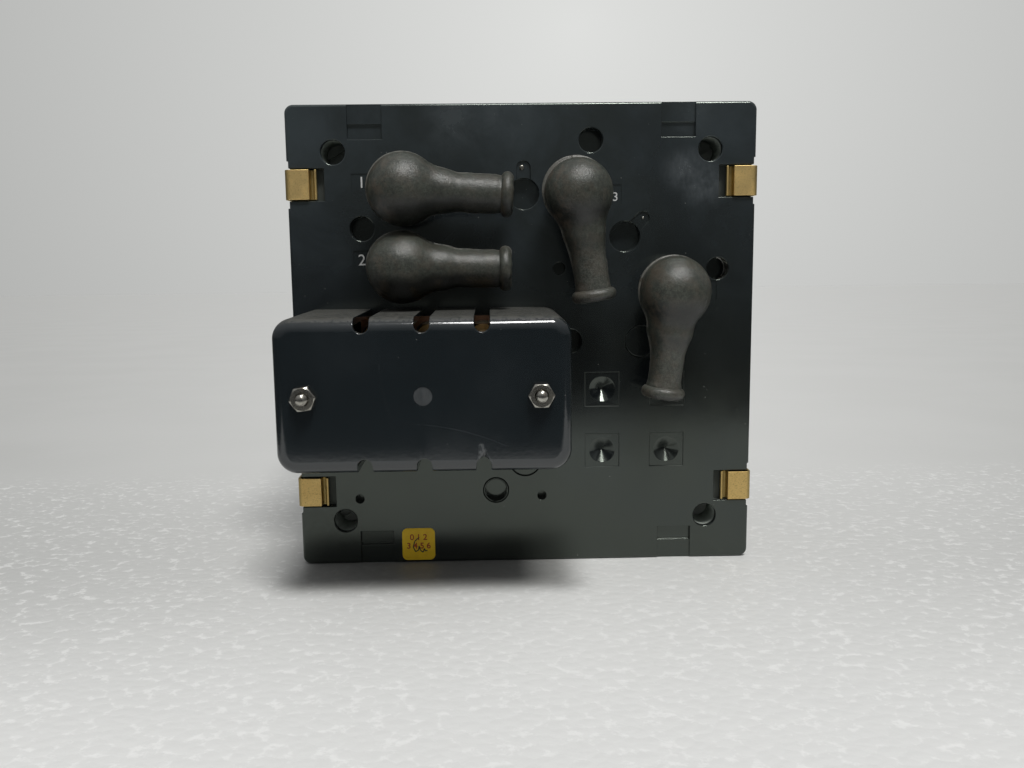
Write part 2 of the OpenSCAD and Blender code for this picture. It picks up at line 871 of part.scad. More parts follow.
module boot_outside() {
    bead_x = bead_r - bead_half;
    polygon(concat(boot_side(0),
                   arc([bead_x, boot_reach - bead_half], bead_half,
                       -acos((neck_r - bead_x) / bead_half), 90),
                   [[0, boot_reach]]));
}

module boot_hollow() {
    end = boot_reach + 1;
    polygon(concat(boot_side(boot_wall), [[neck_r - boot_wall, end], [0, end]]));
}

module boot(t) {
    color("#3f3d39") rear(t[0], t[1]) difference() {
        union() {
            translate([0, 0, boot_axis_h]) rotate(t[2]) rotate([0, 90, 0]) rotate_extrude() boot_outside();
            translate([0, 0, soft_gap]) cylinder(r = skirt_r, h = boot_axis_h - soft_gap);
        }
        translate([0, 0, boot_axis_h]) rotate(t[2]) rotate([0, 90, 0]) rotate_extrude() boot_hollow();
        translate([0, 0, -1]) cylinder(r = boot_mouth_r, h = boot_axis_h + 1);
        translate([-boot_reach, -boot_reach, soft_gap - 2]) cube([2 * boot_reach, 2 * boot_reach, 2]);
    }
}

module boot_1() { boot(terminals[0]); }
module boot_2() { boot(terminals[1]); }
module boot_3() { boot(terminals[2]); }
module boot_4() { boot(terminals[3]); }

module test_sticker() {
    color("#e6b422") rear(sticker_xy[0], sticker_xy[1])
        linear_extrude(sticker_t) rounded_rect(sticker_w, sticker_w, sticker_r);
}

// Chassis and board inside the case
module chassis_plate() {
    color("#8d9094") front(0, 0, -chassis_back) difference() {
        linear_extrude(chassis_t) square(chassis_w, center = true);
        translate([0, 0, -eps]) at_corners(chassis_screw)
            cylinder(d = chassis_screw_d + 2 * run_gap, h = chassis_t + 2 * eps);
    }
}

module chassis_screws() {
    color("#a8aaac") front(0, 0, chassis_t - chassis_back) at_corners(chassis_screw)
        screw(chassis_screw_head_d, chassis_screw_head_h, chassis_screw_d, chassis_screw_l);
}

module at_spacers() {
    for (c = corners) translate([c[0] * spacer_x, c[1] * spacer_y]) children();
}

module circuit_board() {
    color("#3f6b3a") front(0, 0, -board_back) difference() {
        translate([-board_w / 2, -board_h / 2, 0]) cube([board_w, board_h, board_t]);
        translate([0, 0, -eps]) at_spacers()
            cylinder(d = board_screw_d + 2 * run_gap, h = board_t + 2 * eps);
    }
}

module board_spacers() {
    spacer_l = board_back - board_t - chassis_back;
    color("#b9a25e") front(0, 0, board_t - board_back) at_spacers() difference() {
        cylinder(d = spacer_d, h = spacer_l);
        translate([0, 0, -eps]) cylinder(d = board_screw_d + 2 * run_gap, h = spacer_l - spacer_floor);
    }
}

module board_screws() {
    color("#a8aaac") front(0, 0, -board_back) at_spacers() rotate([180, 0, 0])
        screw(board_screw_head_d, board_screw_head_h, board_screw_d, board_t + board_screw_l);
}

// Supply transformer, capacitors and resistors behind the board
module board_parts() {
    color("#4a4c50") front(0, 0, -board_back) {
        translate([supply_xy[0], supply_xy[1], -supply_d]) cube([supply_w, supply_h, supply_d]);
        for (i = [0:capacitors - 1])
            translate([capacitor_xy[0] + i * capacitor_pitch, capacitor_xy[1], -capacitor_l])
                cylinder(d = capacitor_d, h = capacitor_l);
        for (i = [0:resistors - 1])
            translate([resistor_xy[0] + i * resistor_pitch, resistor_xy[1], -resistor_lift]) {
                rotate([90, 0, 0]) cylinder(d = resistor_d, h = resistor_l, center = true);
                translate([-resistor_foot[0] / 2, -resistor_foot[1] / 2, 0])
                    cube([resistor_foot[0], resistor_foot[1], resistor_lift]);
            }
    }
}

// Dial
module dial_plate() {
    color("#f2f0e8") front(0, 0, -dial_back - dial_t) difference() {
        linear_extrude(dial_t) square(dial_w, center = true);
        translate([dial_cut, -dial_w, -eps]) cube([dial_w, dial_w - dial_cut, dial_t + 2 * eps]);
        for (p = dial_posts_xy)
            translate([p[0], p[1], -eps]) cylinder(d = post_screw_d + 2 * run_gap, h = dial_t + 2 * eps);
    }
}

module dial_posts() {
    base = chassis_t - chassis_back;
    post_l = -dial_back - dial_t - base;
    color("#b7b9bb") front(0, 0, base) for (p = dial_posts_xy)
        translate([p[0], p[1], 0]) difference() {
            cylinder(d = post_d, h = post_l);
            translate([0, 0, post_l - post_screw_l])
                cylinder(d = post_screw_d + 2 * run_gap, h = post_screw_l + eps);
        }
}

module dial_screws() {
    color("#d4d4d0") front(0, 0, -dial_back) for (p = dial_posts_xy)
        translate([p[0], p[1], 0])
            screw(post_head_d, post_head_h, post_screw_d, dial_t + post_screw_l - post_screw_room);
}

// Black plate over the movement, on two posts that stand on the dial
module pivot_cap() {
    cap_w = cap_edge - cap_left;
    cap_h = cap_edge - cap_top;
    rise = dial_back + bridge_front + jewel_proud + soft_gap;
    color("#18191b") front(0, 0, -dial_back) {
        difference() {
            translate([cap_left, -cap_edge, rise]) linear_extrude(cap_t) difference() {
                square([cap_w, cap_h]);
                difference() {
                    translate([-1, cap_h - cap_corner_r]) square(cap_corner_r + 1);
                    translate([cap_corner_r, cap_h - cap_corner_r]) circle(cap_corner_r);
                }
            }
            translate([zero_xy[0], zero_xy[1], 0])
                cylinder(r = zero_flange_r + soft_gap, h = 2 * dial_back);
        }
        for (p = cap_posts_xy)
            translate([p[0], p[1], 0]) cylinder(d = cap_post_d, h = rise + eps);
    }
}

// Movement
module yoke_ring() {
    color("#777a7d") at_pivot(core_rear) {
        difference() {
            cylinder(r = yoke_r, h = core_l);
            translate([0, 0, -eps]) cylinder(r = bore_r, h = core_l + 2 * eps);
        }
        for (a = [0, 180])
            rotate(bridge_angle + a)
                translate([core_r + run_gap, -spoke_w / 2, 0]) cube([bore_r - core_r + 1, spoke_w, core_l]);
    }
}

module yoke_posts() {
    base = chassis_t - chassis_back;
    color("#b7b9bb") at_pivot(base) for (a = [0, 180])
        rotate(yoke_post_angle + a) translate([yoke_mid_r, 0, 0])
            cylinder(d = post_d, h = core_rear - base);
}

module magnet_core() {
    color("#5d6064") at_pivot(core_rear) cylinder(r = core_r, h = core_l);
}

// Bar across the yoke on two legs, with a threaded hole for the jewel screw
module bridge(leg_l) {
    difference() {
        union() {
            translate([-yoke_mid_r, -bridge_w / 2, leg_l]) cube([2 * yoke_mid_r, bridge_w, bridge_t]);
            for (s = signs)
                translate([s * yoke_mid_r - bridge_leg / 2, -bridge_leg / 2, 0])
                    cube([bridge_leg, bridge_leg, leg_l + bridge_t]);
        }
        translate([0, 0, leg_l - eps]) cylinder(d = jewel_d + 2 * press_gap, h = bridge_t + 2 * eps);
    }
}

module front_bridge() {
    color("#c2b27c") at_pivot(core_front) rotate(bridge_angle)
        bridge(bridge_front - bridge_t - core_front);
}

module rear_bridge() {
    leg_l = core_rear - rear_bridge_front;
    color("#c2b27c") at_pivot(core_rear) rotate([180, 0, 0]) rotate(-bridge_angle) {
        bridge(leg_l);
        translate([spring_out_r + spring_t, -spring_t, leg_l - rear_tab_l])
            cube([spring_tab_t, 2 * spring_t, rear_tab_l + eps]);
    }
}

// Jewel screw with a cup for the shaft end, seated on z = 0 with its collar below
module jewel(collar) {
    difference() {
        union() {
            cylinder(d = jewel_d, h = bridge_t + jewel_proud);
            translate([0, 0, -collar]) cylinder(r = collar_r, h = collar);
        }
        translate([0, 0, -collar - eps]) cylinder(r = shaft_r + run_gap, h = cup_depth);
        translate([-jewel_d, -jewel_slot_w / 2, bridge_t + jewel_proud / 2])
            cube([2 * jewel_d, jewel_slot_w, jewel_proud]);
    }
}

module front_jewel() {
    color("#a86b7a") at_pivot(bridge_front - bridge_t) jewel(collar_h);
}

module rear_jewel() {
    color("#a86b7a") at_pivot(rear_bridge_front) rotate([180, 0, 0]) jewel(collar_h);
}

module moving_coil() {
    coil_h = coil_front - coil_rear;
    color("#a8632f") at_pivot(coil_rear) rotate(pointer_rest) difference() {
        translate([-coil_out, -coil_w / 2, 0]) cube([2 * coil_out, coil_w, coil_h]);
        translate([-coil_in, -coil_w, coil_end]) cube([2 * coil_in, 2 * coil_w, coil_h - 2 * coil_end]);
    }
}

module pivot_shafts() {
    front_end = bridge_front - bridge_t - collar_h + cup_depth - run_gap;
    rear_end = rear_bridge_front + collar_h - cup_depth + run_gap;
    color("#cfd1d3") {
        at_pivot(coil_front) cylinder(r = shaft_r, h = front_end - coil_front);
        at_pivot(rear_end) cylinder(r = shaft_r, h = coil_rear - rear_end);
    }
}

module pointer() {
    color("#101010") at_pivot(pointer_front - pointer_t) rotate(pointer_rest)
        linear_extrude(pointer_t) difference() {
            union() {
                circle(hub_r);
                polygon([[0, -pointer_root_w / 2], [pointer_l, -pointer_tip_w / 2],
                         [pointer_l, pointer_tip_w / 2], [0, pointer_root_w / 2]]);
                translate([-pointer_tail, -pointer_root_w / 2]) square([pointer_tail, pointer_root_w]);
            }
            circle(shaft_r + press_gap);
        }
}

module balance_weights() {
    color("#b9a25e") at_pivot(pointer_front) rotate(pointer_rest)
        translate([-weight_r, 0, 0]) cylinder(d = weight_d, h = pointer_t);
    color("#b9a25e") at_pivot(pointer_front - pointer_t - weight_h) rotate(pointer_rest)
        translate([-weight_r, 0, 0]) cylinder(d = weight_d, h = weight_h);
}

// Flat spiral from a collet round the shaft to its anchored outer end
function spiral_r(i, n) = spring_in_r + (spring_out_r - spring_in_r) * i / n;

module hairspring(end_angle) {
    steps = spring_turns * spring_steps;
    function turn(i) = end_angle + 360 * (i - steps) / spring_steps;
    function place(i, side) =
        (spiral_r(i, steps) + side * spring_t / 2) * [cos(turn(i)), sin(turn(i))];
    linear_extrude(spring_w) {
        polygon(concat([for (i = [0:steps]) place(i, 1)], [for (i = [steps:-1:0]) place(i, -1)]));
        difference() {
            circle(spring_in_r + spring_t / 2);
            circle(shaft_r + run_gap);
        }
    }
}

module front_hairspring() {
    color("#c0a060") at_pivot(spring_front - spring_w) hairspring(spring_end_angle);
}

module rear_hairspring() {
    color("#c0a060") at_pivot(rear_spring_front - spring_w) hairspring(bridge_angle);
}

// Lever round the collar of the front jewel, with a fork at one end and the spring tab at the other
module zero_lever() {
    pin_at = zero_reach + crank_r;
    fork_r = crank_pin_r + fork_gap;
    tab_at = spring_out_r + spring_t;
    tab_l = lever_front - lever_t - spring_front + spring_w;
    color("#c9b98a") at_pivot(lever_front - lever_t) {
        linear_extrude(lever_t) difference() {
            union() {
                circle(collar_r + lever_eye);
                rotate(zero_angle) translate([0, -lever_w / 2]) square([pin_at + 2 * fork_r, lever_w]);
                rotate(spring_end_angle) translate([0, -spring_tab_w / 2])
                    square([tab_at + spring_tab_t, spring_tab_w]);
            }
            circle(collar_r + run_gap);
            rotate(zero_angle) translate([pin_at - fork_r - fork_room, -fork_r])
                square([4 * fork_r + fork_room, 2 * fork_r]);
        }
        rotate(spring_end_angle) translate([tab_at, -spring_tab_w / 2, -tab_l])
            cube([spring_tab_t, spring_tab_w, tab_l + eps]);
    }
}

module zero_adjuster() {
    stem_end = bridge_front + jewel_proud;
    flange_front = glass_back - fit_gap;
    head_back = bezel_h - lip_t + run_gap;
    color("#1a1a1c") front(zero_xy[0], zero_xy[1]) {
        translate([0, 0, stem_end]) cylinder(r = zero_r, h = flange_front - stem_end);
        translate([0, 0, flange_front - zero_flange_t]) cylinder(r = zero_flange_r, h = zero_flange_t);
        translate([0, 0, flange_front - eps])
            cylinder(r = zero_neck_r, h = head_back - flange_front + 2 * eps);
        translate([0, 0, head_back]) difference() {
            cylinder(r = zero_r, h = zero_proud);
            translate([-2 * zero_r, -zero_slot_w / 2, zero_proud - zero_slot_d])
                cube([4 * zero_r, zero_slot_w, 2 * zero_slot_d]);
        }
        rotate(zero_angle) translate([crank_r, 0, crank_pin_end])
            cylinder(r = crank_pin_r, h = stem_end - crank_pin_end + eps);
    }
}

rear_base();
front_case();
bezel_frame();
front_glass();
glass_gasket();
glass_retainer();
case_screws();
thread_insert();
clip_top_left();
clip_top_right();
clip_bottom_left();
clip_bottom_right();
terminal_cover();
cover_studs();
cover_nut_left();
cover_nut_right();
current_studs();
current_plates();
current_washers();
current_nuts();
current_links();
current_transformers();
voltage_studs();
voltage_washers();
voltage_nuts();
boot_1();
boot_2();
boot_3();
boot_4();
test_sticker();
chassis_plate();
chassis_screws();
circuit_board();
board_spacers();
board_screws();
board_parts();
dial_plate();
dial_posts();
dial_screws();
pivot_cap();
yoke_ring();
yoke_posts();
magnet_core();
front_bridge();
rear_bridge();
front_jewel();
rear_jewel();
moving_coil();
pivot_shafts();
pointer();
balance_weights();
front_hairspring();
rear_hairspring();
zero_lever();
zero_adjuster();
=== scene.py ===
import json
import math

import bmesh
import bpy
from mathutils import Matrix, Vector, noise


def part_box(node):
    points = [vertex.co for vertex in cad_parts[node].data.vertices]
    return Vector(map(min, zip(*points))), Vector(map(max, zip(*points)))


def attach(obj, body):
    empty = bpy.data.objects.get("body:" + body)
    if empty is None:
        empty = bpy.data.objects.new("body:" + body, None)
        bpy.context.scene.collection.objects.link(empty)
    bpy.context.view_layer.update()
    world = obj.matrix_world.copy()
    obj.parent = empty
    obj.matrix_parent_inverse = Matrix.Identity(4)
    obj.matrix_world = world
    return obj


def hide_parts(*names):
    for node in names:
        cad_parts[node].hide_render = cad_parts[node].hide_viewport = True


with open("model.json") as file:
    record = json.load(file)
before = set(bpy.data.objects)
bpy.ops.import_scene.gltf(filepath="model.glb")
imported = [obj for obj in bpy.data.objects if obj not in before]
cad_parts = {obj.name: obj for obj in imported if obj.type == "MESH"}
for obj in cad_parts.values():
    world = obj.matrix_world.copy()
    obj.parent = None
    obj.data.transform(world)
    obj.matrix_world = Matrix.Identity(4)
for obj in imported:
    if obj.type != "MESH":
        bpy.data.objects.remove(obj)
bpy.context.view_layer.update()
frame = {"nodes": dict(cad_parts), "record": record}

MM = 0.001
nodes = frame["nodes"]
record = frame["record"]
mounts = {m["name"]: m for m in record["mounts"]}
slot_of = {s["node"]: s["material_slot"] for s in record["subparts"]}
body_of = {n: b for b, members in record["behaviour"]["bodies"].items() for n in members}

# Planes and places that the frame gives; the cover stands on the rear face of the base, at REAR
COVER_LOW, COVER_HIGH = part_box("terminal_cover")
COVER_MID = (COVER_LOW + COVER_HIGH) / 2
COVER_FRONT = COVER_LOW.y
REAR = COVER_HIGH.y
CASE_LOW, CASE_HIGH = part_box("front_case")
BEZEL_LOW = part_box("bezel_frame")[0]

# Place of the camera; the floor's tones are measured from it too
CAMERA_AT = Vector((-10.1, -377.87, 25.8)) * MM


# Node trees
class Tree:
    """The nodes of a material or the world, measured from one kind of place, and short calls for more."""

    def __init__(self, owner, kind_of_place):
        owner.use_nodes = True
        self.tree = owner.node_tree
        self.coords = self.tree.nodes.new("ShaderNodeTexCoord")
        self.place = self.coords.outputs[kind_of_place]

    def feed(self, socket, value):
        """Links an output to a socket, or sets the socket to a plain value."""
        if isinstance(value, bpy.types.NodeSocket):
            self.tree.links.new(value, socket)
        elif isinstance(value, (tuple, list)) and len(value) == 3 and socket.type == "RGBA":
            socket.default_value = (*value, 1)
        else:
            socket.default_value = value

    def node(self, kind, **inputs):
        made = self.tree.nodes.new(kind)
        for socket, value in inputs.items():
            self.feed(made.inputs[socket.replace("_", " ")], value)
        return made

    def stretch(self, scale, turn=(0, 0, 0), shift=(0, 0, 0)):
        """The place, scaled by axis, for streaks and scratches."""
        made = self.node("ShaderNodeMapping", Vector=self.place, Scale=scale, Rotation=turn, Location=shift)
        return made.outputs[0]

    def noise(self, scale, detail=3, roughness=0.5, place=None, twist=0):
        made = self.node("ShaderNodeTexNoise", Vector=place or self.place, Scale=scale, Detail=detail,
                         Roughness=roughness, Distortion=twist)
        return made.outputs["Fac"]

    def cells(self, scale, place=None):
        """Distance to the nearest of scattered points, and a random value for each."""
        made = self.node("ShaderNodeTexVoronoi", Vector=place or self.place, Scale=scale)
        return made.outputs["Distance"], made.outputs["Color"]

    def step(self, value, low, high):
        """0 below low, 1 above high and smooth between them; low may be the larger."""
        made = self.node("ShaderNodeMapRange", Value=value, From_Min=low, From_Max=high)
        made.interpolation_type = "SMOOTHSTEP"
        return made.outputs[0]

    def between(self, value, low, high, soft):
        """1 from low to high, with soft ends."""
        above = self.step(value, low - soft, low + soft)
        return self.times(above, self.step(value, high + soft, high - soft))

    def calc(self, how, a, b=0.0):
        made = self.tree.nodes.new("ShaderNodeMath")
        made.operation = how
        self.feed(made.inputs[0], a)
        self.feed(made.inputs[1], b)
        return made.outputs[0]

    def times(self, a, b):
        return self.calc("MULTIPLY", a, b)

    def mix(self, share, a, b):
        """Colours a and b mixed by share."""
        made = self.tree.nodes.new("ShaderNodeMix")
        made.data_type = "RGBA"
        for socket, value in zip((0, 6, 7), (share, a, b)):
            self.feed(made.inputs[socket], value)
        return made.outputs[2]

    def level(self, share, low, high):
        """A number from low to high by share."""
        return self.node("ShaderNodeMapRange", Value=share, To_Min=low, To_Max=high).outputs[0]

    def axis(self, vector, name):
        return self.node("ShaderNodeSeparateXYZ", Vector=vector).outputs[name]

    def distance(self, point):
        made = self.tree.nodes.new("ShaderNodeVectorMath")
        made.operation = "DISTANCE"
        self.feed(made.inputs[0], self.place)
        made.inputs[1].default_value = point
        return made.outputs["Value"]

    def near(self, point, inner, outer):
        """1 within inner of a point, fading to 0 at outer."""
        return self.step(self.distance(point), outer, inner)

    def any(self, masks):
        """The largest of some masks."""
        most, *others = masks
        for mask in others:
            most = self.calc("MAXIMUM", most, mask)
        return most


class Look(Tree):
    """A material with a principled shader, and masks for marks on its surface."""

    def __init__(self, name, **constants):
        self.material = bpy.data.materials.new(name)
        super().__init__(self.material, "Object")
        self.normal = self.coords.outputs["Normal"]
        self.shader = self.tree.nodes["Principled BSDF"]
        for socket, value in constants.items():
            self.set(socket.replace("_", " "), value)

    def set(self, socket, value):
        self.feed(self.shader.inputs[socket], value)

    def frame(self, x, z, half_w, half_h, width):
        """A line round an upright rectangle."""
        sides = []
        for name, middle, half in (("X", x, half_w), ("Z", z, half_h)):
            away = self.calc("ABSOLUTE", self.calc("SUBTRACT", self.axis(self.place, name), middle))
            sides.append(self.calc("SUBTRACT", away, half))
        off = self.calc("ABSOLUTE", self.calc("MAXIMUM", *sides))
        return self.step(off, width, 0.5 * width)

    def circle(self, x, z, radius, width):
        """A line round a circle on the rear face."""
        off = self.calc("ABSOLUTE", self.calc("SUBTRACT", self.distance((x, REAR, z)), radius))
        return self.step(off, width, 0.5 * width)

    def arc(self, points):
        """A fine scratch on the cover's front, along the circle through three (x, z) points in mm."""
        (ax, az), (bx, bz), (cx, cz) = points
        twice = 2 * (ax * (bz - cz) + bx * (cz - az) + cx * (az - bz))
        a2, b2, c2 = ax * ax + az * az, bx * bx + bz * bz, cx * cx + cz * cz
        x = (a2 * (bz - cz) + b2 * (cz - az) + c2 * (az - bz)) / twice
        z = (a2 * (cx - bx) + b2 * (ax - cx) + c2 * (bx - ax)) / twice
        radius = math.hypot(ax - x, az - z)
        half = math.hypot(cx - ax, cz - az) / 2

        def at(px, pz):
            return COVER_MID.x + px * MM, COVER_FRONT, COVER_MID.z + pz * MM

        ring = self.calc("ABSOLUTE", self.calc("SUBTRACT", self.distance(at(x, z)), radius * MM))
        line = self.step(ring, SCRATCH_W * MM, 0.4 * SCRATCH_W * MM)
        return self.times(line, self.near(at(bx, bz), 0.9 * half * MM, 1.05 * half * MM))

    def specks(self, scale, size, share):
        """Scattered dots: size is a share of their spacing, and share of the points have one."""
        distance, colour = self.cells(scale)
        dot = self.step(distance, size, size * 0.6)
        chosen = self.step(self.axis(colour, "X"), 1 - share, 1 - share + 0.01)
        return self.times(dot, chosen)

    def bump(self, height, strength, depth):
        made = self.node("ShaderNodeBump", Height=height, Strength=strength, Distance=depth)
        self.set("Normal", made.outputs[0])


# Wiped smears and dull blooms on the base: x, z and reach in metres
SMEARS = ((0.0478, 0.0488, 0.0090), (0.0530, 0.0452, 0.0095))
BLOOMS = ((-0.0195, 0.0635, 0.0140), (-0.0050, 0.0640, 0.0120), (0.0500, 0.0640, 0.0080))
# Grime round the lower left well: x and z of its middle, and where it starts to fade and ends
GRIME_AT = (-0.061, -0.055)
GRIME_REACH = (0.005, 0.017)
# Pits with their square frames, rings and clamp notches of the base: middles and half sizes
PITS = [(x * MM, z * MM) for x in (23.4, 43) for z in (-15.5, -34.2)]
PIT_HALF = 5.15 * MM
RINGS = ((34.9 * MM, -1.2 * MM, 4.7 * MM),)
NOTCHES = ((-45.6 * MM, -60.6 * MM), (45.6 * MM, -60.6 * MM))
NOTCH_HALF_W = 5 * MM
NOTCH_HALF_H = 2 * MM
LINE_W = 0.2 * MM
# The corner wells stand this far from the middle of the base, on both axes
WELL_AT = 55 * MM
WELL_HALF = 3.8 * MM
# The clip pockets, from and to, measured from the middle of the base
POCKET_X = (57.0 * MM, 68.2 * MM)
POCKET_Z = (40.9 * MM, 50.7 * MM)
# The gate mark in the middle of the cover: radius where its edge starts to fade and ends
GATE_R = (2.3 * MM, 2.6 * MM)
# Scratches on the cover's front, each by three (x, z) points from its middle in mm
COVER_SCRATCHES = (((-11, 9), (-10.2, 1), (-7.9, -6.5)), ((-6.8, -7.1), (7.8, -8.7), (22.5, -13.9)))
SCRATCH_W = 0.12
# Painted light on the floor: a glow behind the object that dims to the sides, and pale towards the front
GLOW_ASIDE = 0.094
GLOW_REACH = 0.62
FLOOR_GLOW = (0.808, 0.814, 0.800)
FLOOR_DIM = (0.543, 0.548, 0.536)
FLOOR_PALE = (0.80, 0.805, 0.795)
FLOOR_SHADE_AT = -90 * MM
FLOOR_PALE_AT = -235 * MM
# Painted shadow under the terminal cover: from, to and half the width of its soft edge
SHADE_X = (-70 * MM, 14 * MM, 7 * MM)
SHADE_Y = (-123 * MM, -60 * MM, 7 * MM)

# The broken tooth beside the third slot of the cover's lower edge
CHIP_SLOT = 1
SLOT_PITCH = 15.5 * MM
CHIP_TIP = (COVER_MID.x + CHIP_SLOT * SLOT_PITCH, COVER_FRONT, COVER_LOW.z + 5.6 * MM)
CHIP_SPOTS = ((-0.6, 1.4, 1.1), (-0.3, 0.0, 1.5), (0.0, -1.6, 2.0), (0.3, -3.2, 2.4))


# Materials
def plate_look():
    """Glossy black phenolic, lighter towards the top, with a wiped smear, grime and specks; painted light in
    the wells and pockets.
    """
    k = Look("black_phenolic", Specular_IOR_Level=0.9, Specular_Tint=(0.90, 1.0, 0.89))
    # Lighter towards the top: a pale tone that thickens upwards, mottled by haze.
    upper = k.step(k.axis(k.place, "Z"), -0.020, 0.066)
    haze = k.step(k.noise(34, 5, 0.6, twist=0.4), 0.34, 0.72)
    film = k.times(upper, k.level(haze, 0.35, 1.0))
    fan = k.step(k.noise(1100, 3, 0.6, k.stretch((1, 1, 0.35), (0, -0.75, 0))), 0.34, 0.68)
    cloud = k.step(k.noise(150, 4, 0.65), 0.32, 0.62)
    smear = k.any([k.near((x, REAR, z), 0.001, reach) for x, z, reach in SMEARS])
    smear = k.times(smear, k.times(k.level(fan, 0.70, 1.0), k.level(cloud, 0.30, 1.0)))
    bloom = k.any([k.near((x, REAR, z), 0.001, reach) for x, z, reach in BLOOMS])
    bloom = k.times(bloom, k.level(k.step(k.noise(110, 5, 0.7, twist=0.6), 0.36, 0.66), 0.25, 1.0))
    smudge = k.near((GRIME_AT[0], REAR, GRIME_AT[1]), *GRIME_REACH)
    grime = k.times(smudge, k.step(k.noise(520, 5, 0.75), 0.42, 0.56))
    dust = k.calc("MAXIMUM", k.specks(310, 0.045, 0.22), k.specks(760, 0.065, 0.09))
    # Pale lines round the pit squares and the ring: painted highlight on their edges, and dust in the ring's
    # groove.
    edges = k.any([k.frame(x, z, PIT_HALF, PIT_HALF, LINE_W) for x, z in PITS]
                  + [k.circle(x, z, radius, LINE_W) for x, z, radius in RINGS])
    # Painted shade: dark lines round the clamp notches.
    notch_shade_lines = k.any([k.frame(x, z, NOTCH_HALF_W, NOTCH_HALF_H, LINE_W) for x, z in NOTCHES])
    # Painted light: the walls of the corner wells are made pale, standing in for light that reaches into
    # them.
    well_painted_light = k.step(k.axis(k.place, "Y"), REAR + 1.0 * MM, REAR + 2.4 * MM)
    for name in ("X", "Z"):
        aside = k.calc("ABSOLUTE", k.axis(k.place, name))
        well_painted_light = k.times(well_painted_light, k.between(aside, WELL_AT - WELL_HALF, WELL_AT + WELL_HALF, 0.2 * MM))
    # Painted light: the floors of the clip pockets are made paler.
    pocket_painted_light = k.step(k.axis(k.place, "Y"), REAR + 0.3 * MM, REAR + 0.9 * MM)
    for name, (near, far) in (("X", POCKET_X), ("Z", POCKET_Z)):
        pocket_painted_light = k.times(pocket_painted_light, k.between(k.calc("ABSOLUTE", k.axis(k.place, name)), near, far, 0.1 * MM))
    tint = k.mix(k.step(k.noise(24, 3, 0.5), 0.40, 0.62), (0.0082, 0.0102, 0.0124), (0.0104, 0.0122, 0.0112))
    colour = k.mix(film, tint, (0.041, 0.052, 0.060))
    colour = k.mix(k.times(bloom, 0.75), colour, (0.066, 0.078, 0.086))
    colour = k.mix(k.times(smear, 0.85), colour, (0.094, 0.106, 0.116))
    colour = k.mix(k.times(grime, 0.5), colour, (0.0035, 0.0038, 0.0040))
    # Painted highlight lines at the pits and ring, with dust in the ring's groove.
    colour = k.mix(k.times(edges, 0.07), colour, (0.17, 0.175, 0.165))
    # Painted shade round the notches.
    colour = k.mix(k.times(notch_shade_lines, 0.8), colour, (0.004, 0.004, 0.004))
    # Painted light in the corner wells.
    colour = k.mix(k.times(well_painted_light, 0.95), colour, (0.34, 0.37, 0.34))
    # Painted light in the clip pockets.
    colour = k.mix(k.times(pocket_painted_light, 0.6), colour, (0.065, 0.07, 0.064))
    k.set("Base Color", k.mix(k.times(dust, 0.75), colour, (0.26, 0.26, 0.24)))
    rough = k.calc("ADD", k.level(k.any([k.times(haze, 0.5), smear, bloom]), 0.14, 0.30), k.times(dust, 0.3))
    rough = k.calc("ADD", rough, k.times(grime, 0.08))
    lines = k.any([edges, notch_shade_lines])
    k.set("Roughness", k.any([rough, k.times(lines, 0.6), k.times(well_painted_light, 0.8), k.times(pocket_painted_light, 0.6)]))
    k.bump(k.noise(90, 2), 0.06, 0.0002)
    return k.material


def cover_look():
    """Blue-black glossy moulding: dusty on top, two arc scratches, a dull gate mark and a whitened chip."""
    k = Look("cover_moulding", Specular_IOR_Level=0.9)
    up = k.step(k.axis(k.normal, "Z"), 0.55, 0.95)
    grain = k.step(k.noise(900, 4, 0.7), 0.35, 0.62)
    dusty = k.times(up, k.level(grain, 0.4, 0.95))
    haze = k.step(k.noise(45, 4, 0.6), 0.40, 0.75)
    lines = k.any([k.arc(ends) for ends in COVER_SCRATCHES])
    specks = k.specks(420, 0.05, 0.20)
    middle = (COVER_MID.x, COVER_FRONT, COVER_MID.z)
    dull = k.level(k.step(k.noise(700, 4, 0.7), 0.36, 0.62), 0.75, 1.0)
    gate = k.times(k.near(middle, *GATE_R), dull)
    tip_x, tip_y, tip_z = CHIP_TIP
    tongue = k.any([k.near((tip_x + x * MM, tip_y, tip_z + z * MM), 0.4 * reach * MM, reach * MM)
                    for x, z, reach in CHIP_SPOTS])
    fibres = k.step(k.noise(1300, 4, 0.7, k.stretch((1, 1, 0.4))), 0.36, 0.64)
    chip = k.times(tongue, k.level(fibres, 0.25, 1.0))
    colour = k.mix(haze, (0.0104, 0.0150, 0.0176), (0.0150, 0.0200, 0.0230))
    colour = k.mix(k.times(gate, 0.75), colour, (0.046, 0.052, 0.056))
    colour = k.mix(k.times(lines, k.level(haze, 0.06, 0.17)), colour, (0.16, 0.165, 0.17))
    colour = k.mix(k.times(specks, 0.7), colour, (0.30, 0.30, 0.28))
    colour = k.mix(k.times(chip, 0.55), colour, (0.15, 0.16, 0.165))
    k.set("Base Color", k.mix(k.times(dusty, 0.85), colour, (0.062, 0.060, 0.048)))
    rough = k.any([k.level(haze, 0.10, 0.16), k.times(gate, 0.5), k.times(dusty, 0.85), k.times(chip, 0.6)])
    k.set("Roughness", rough)
    k.bump(k.calc("ADD", k.noise(1100, 2), k.times(k.noise(70, 2), 2)), 0.03, 0.0002)
    return k.material


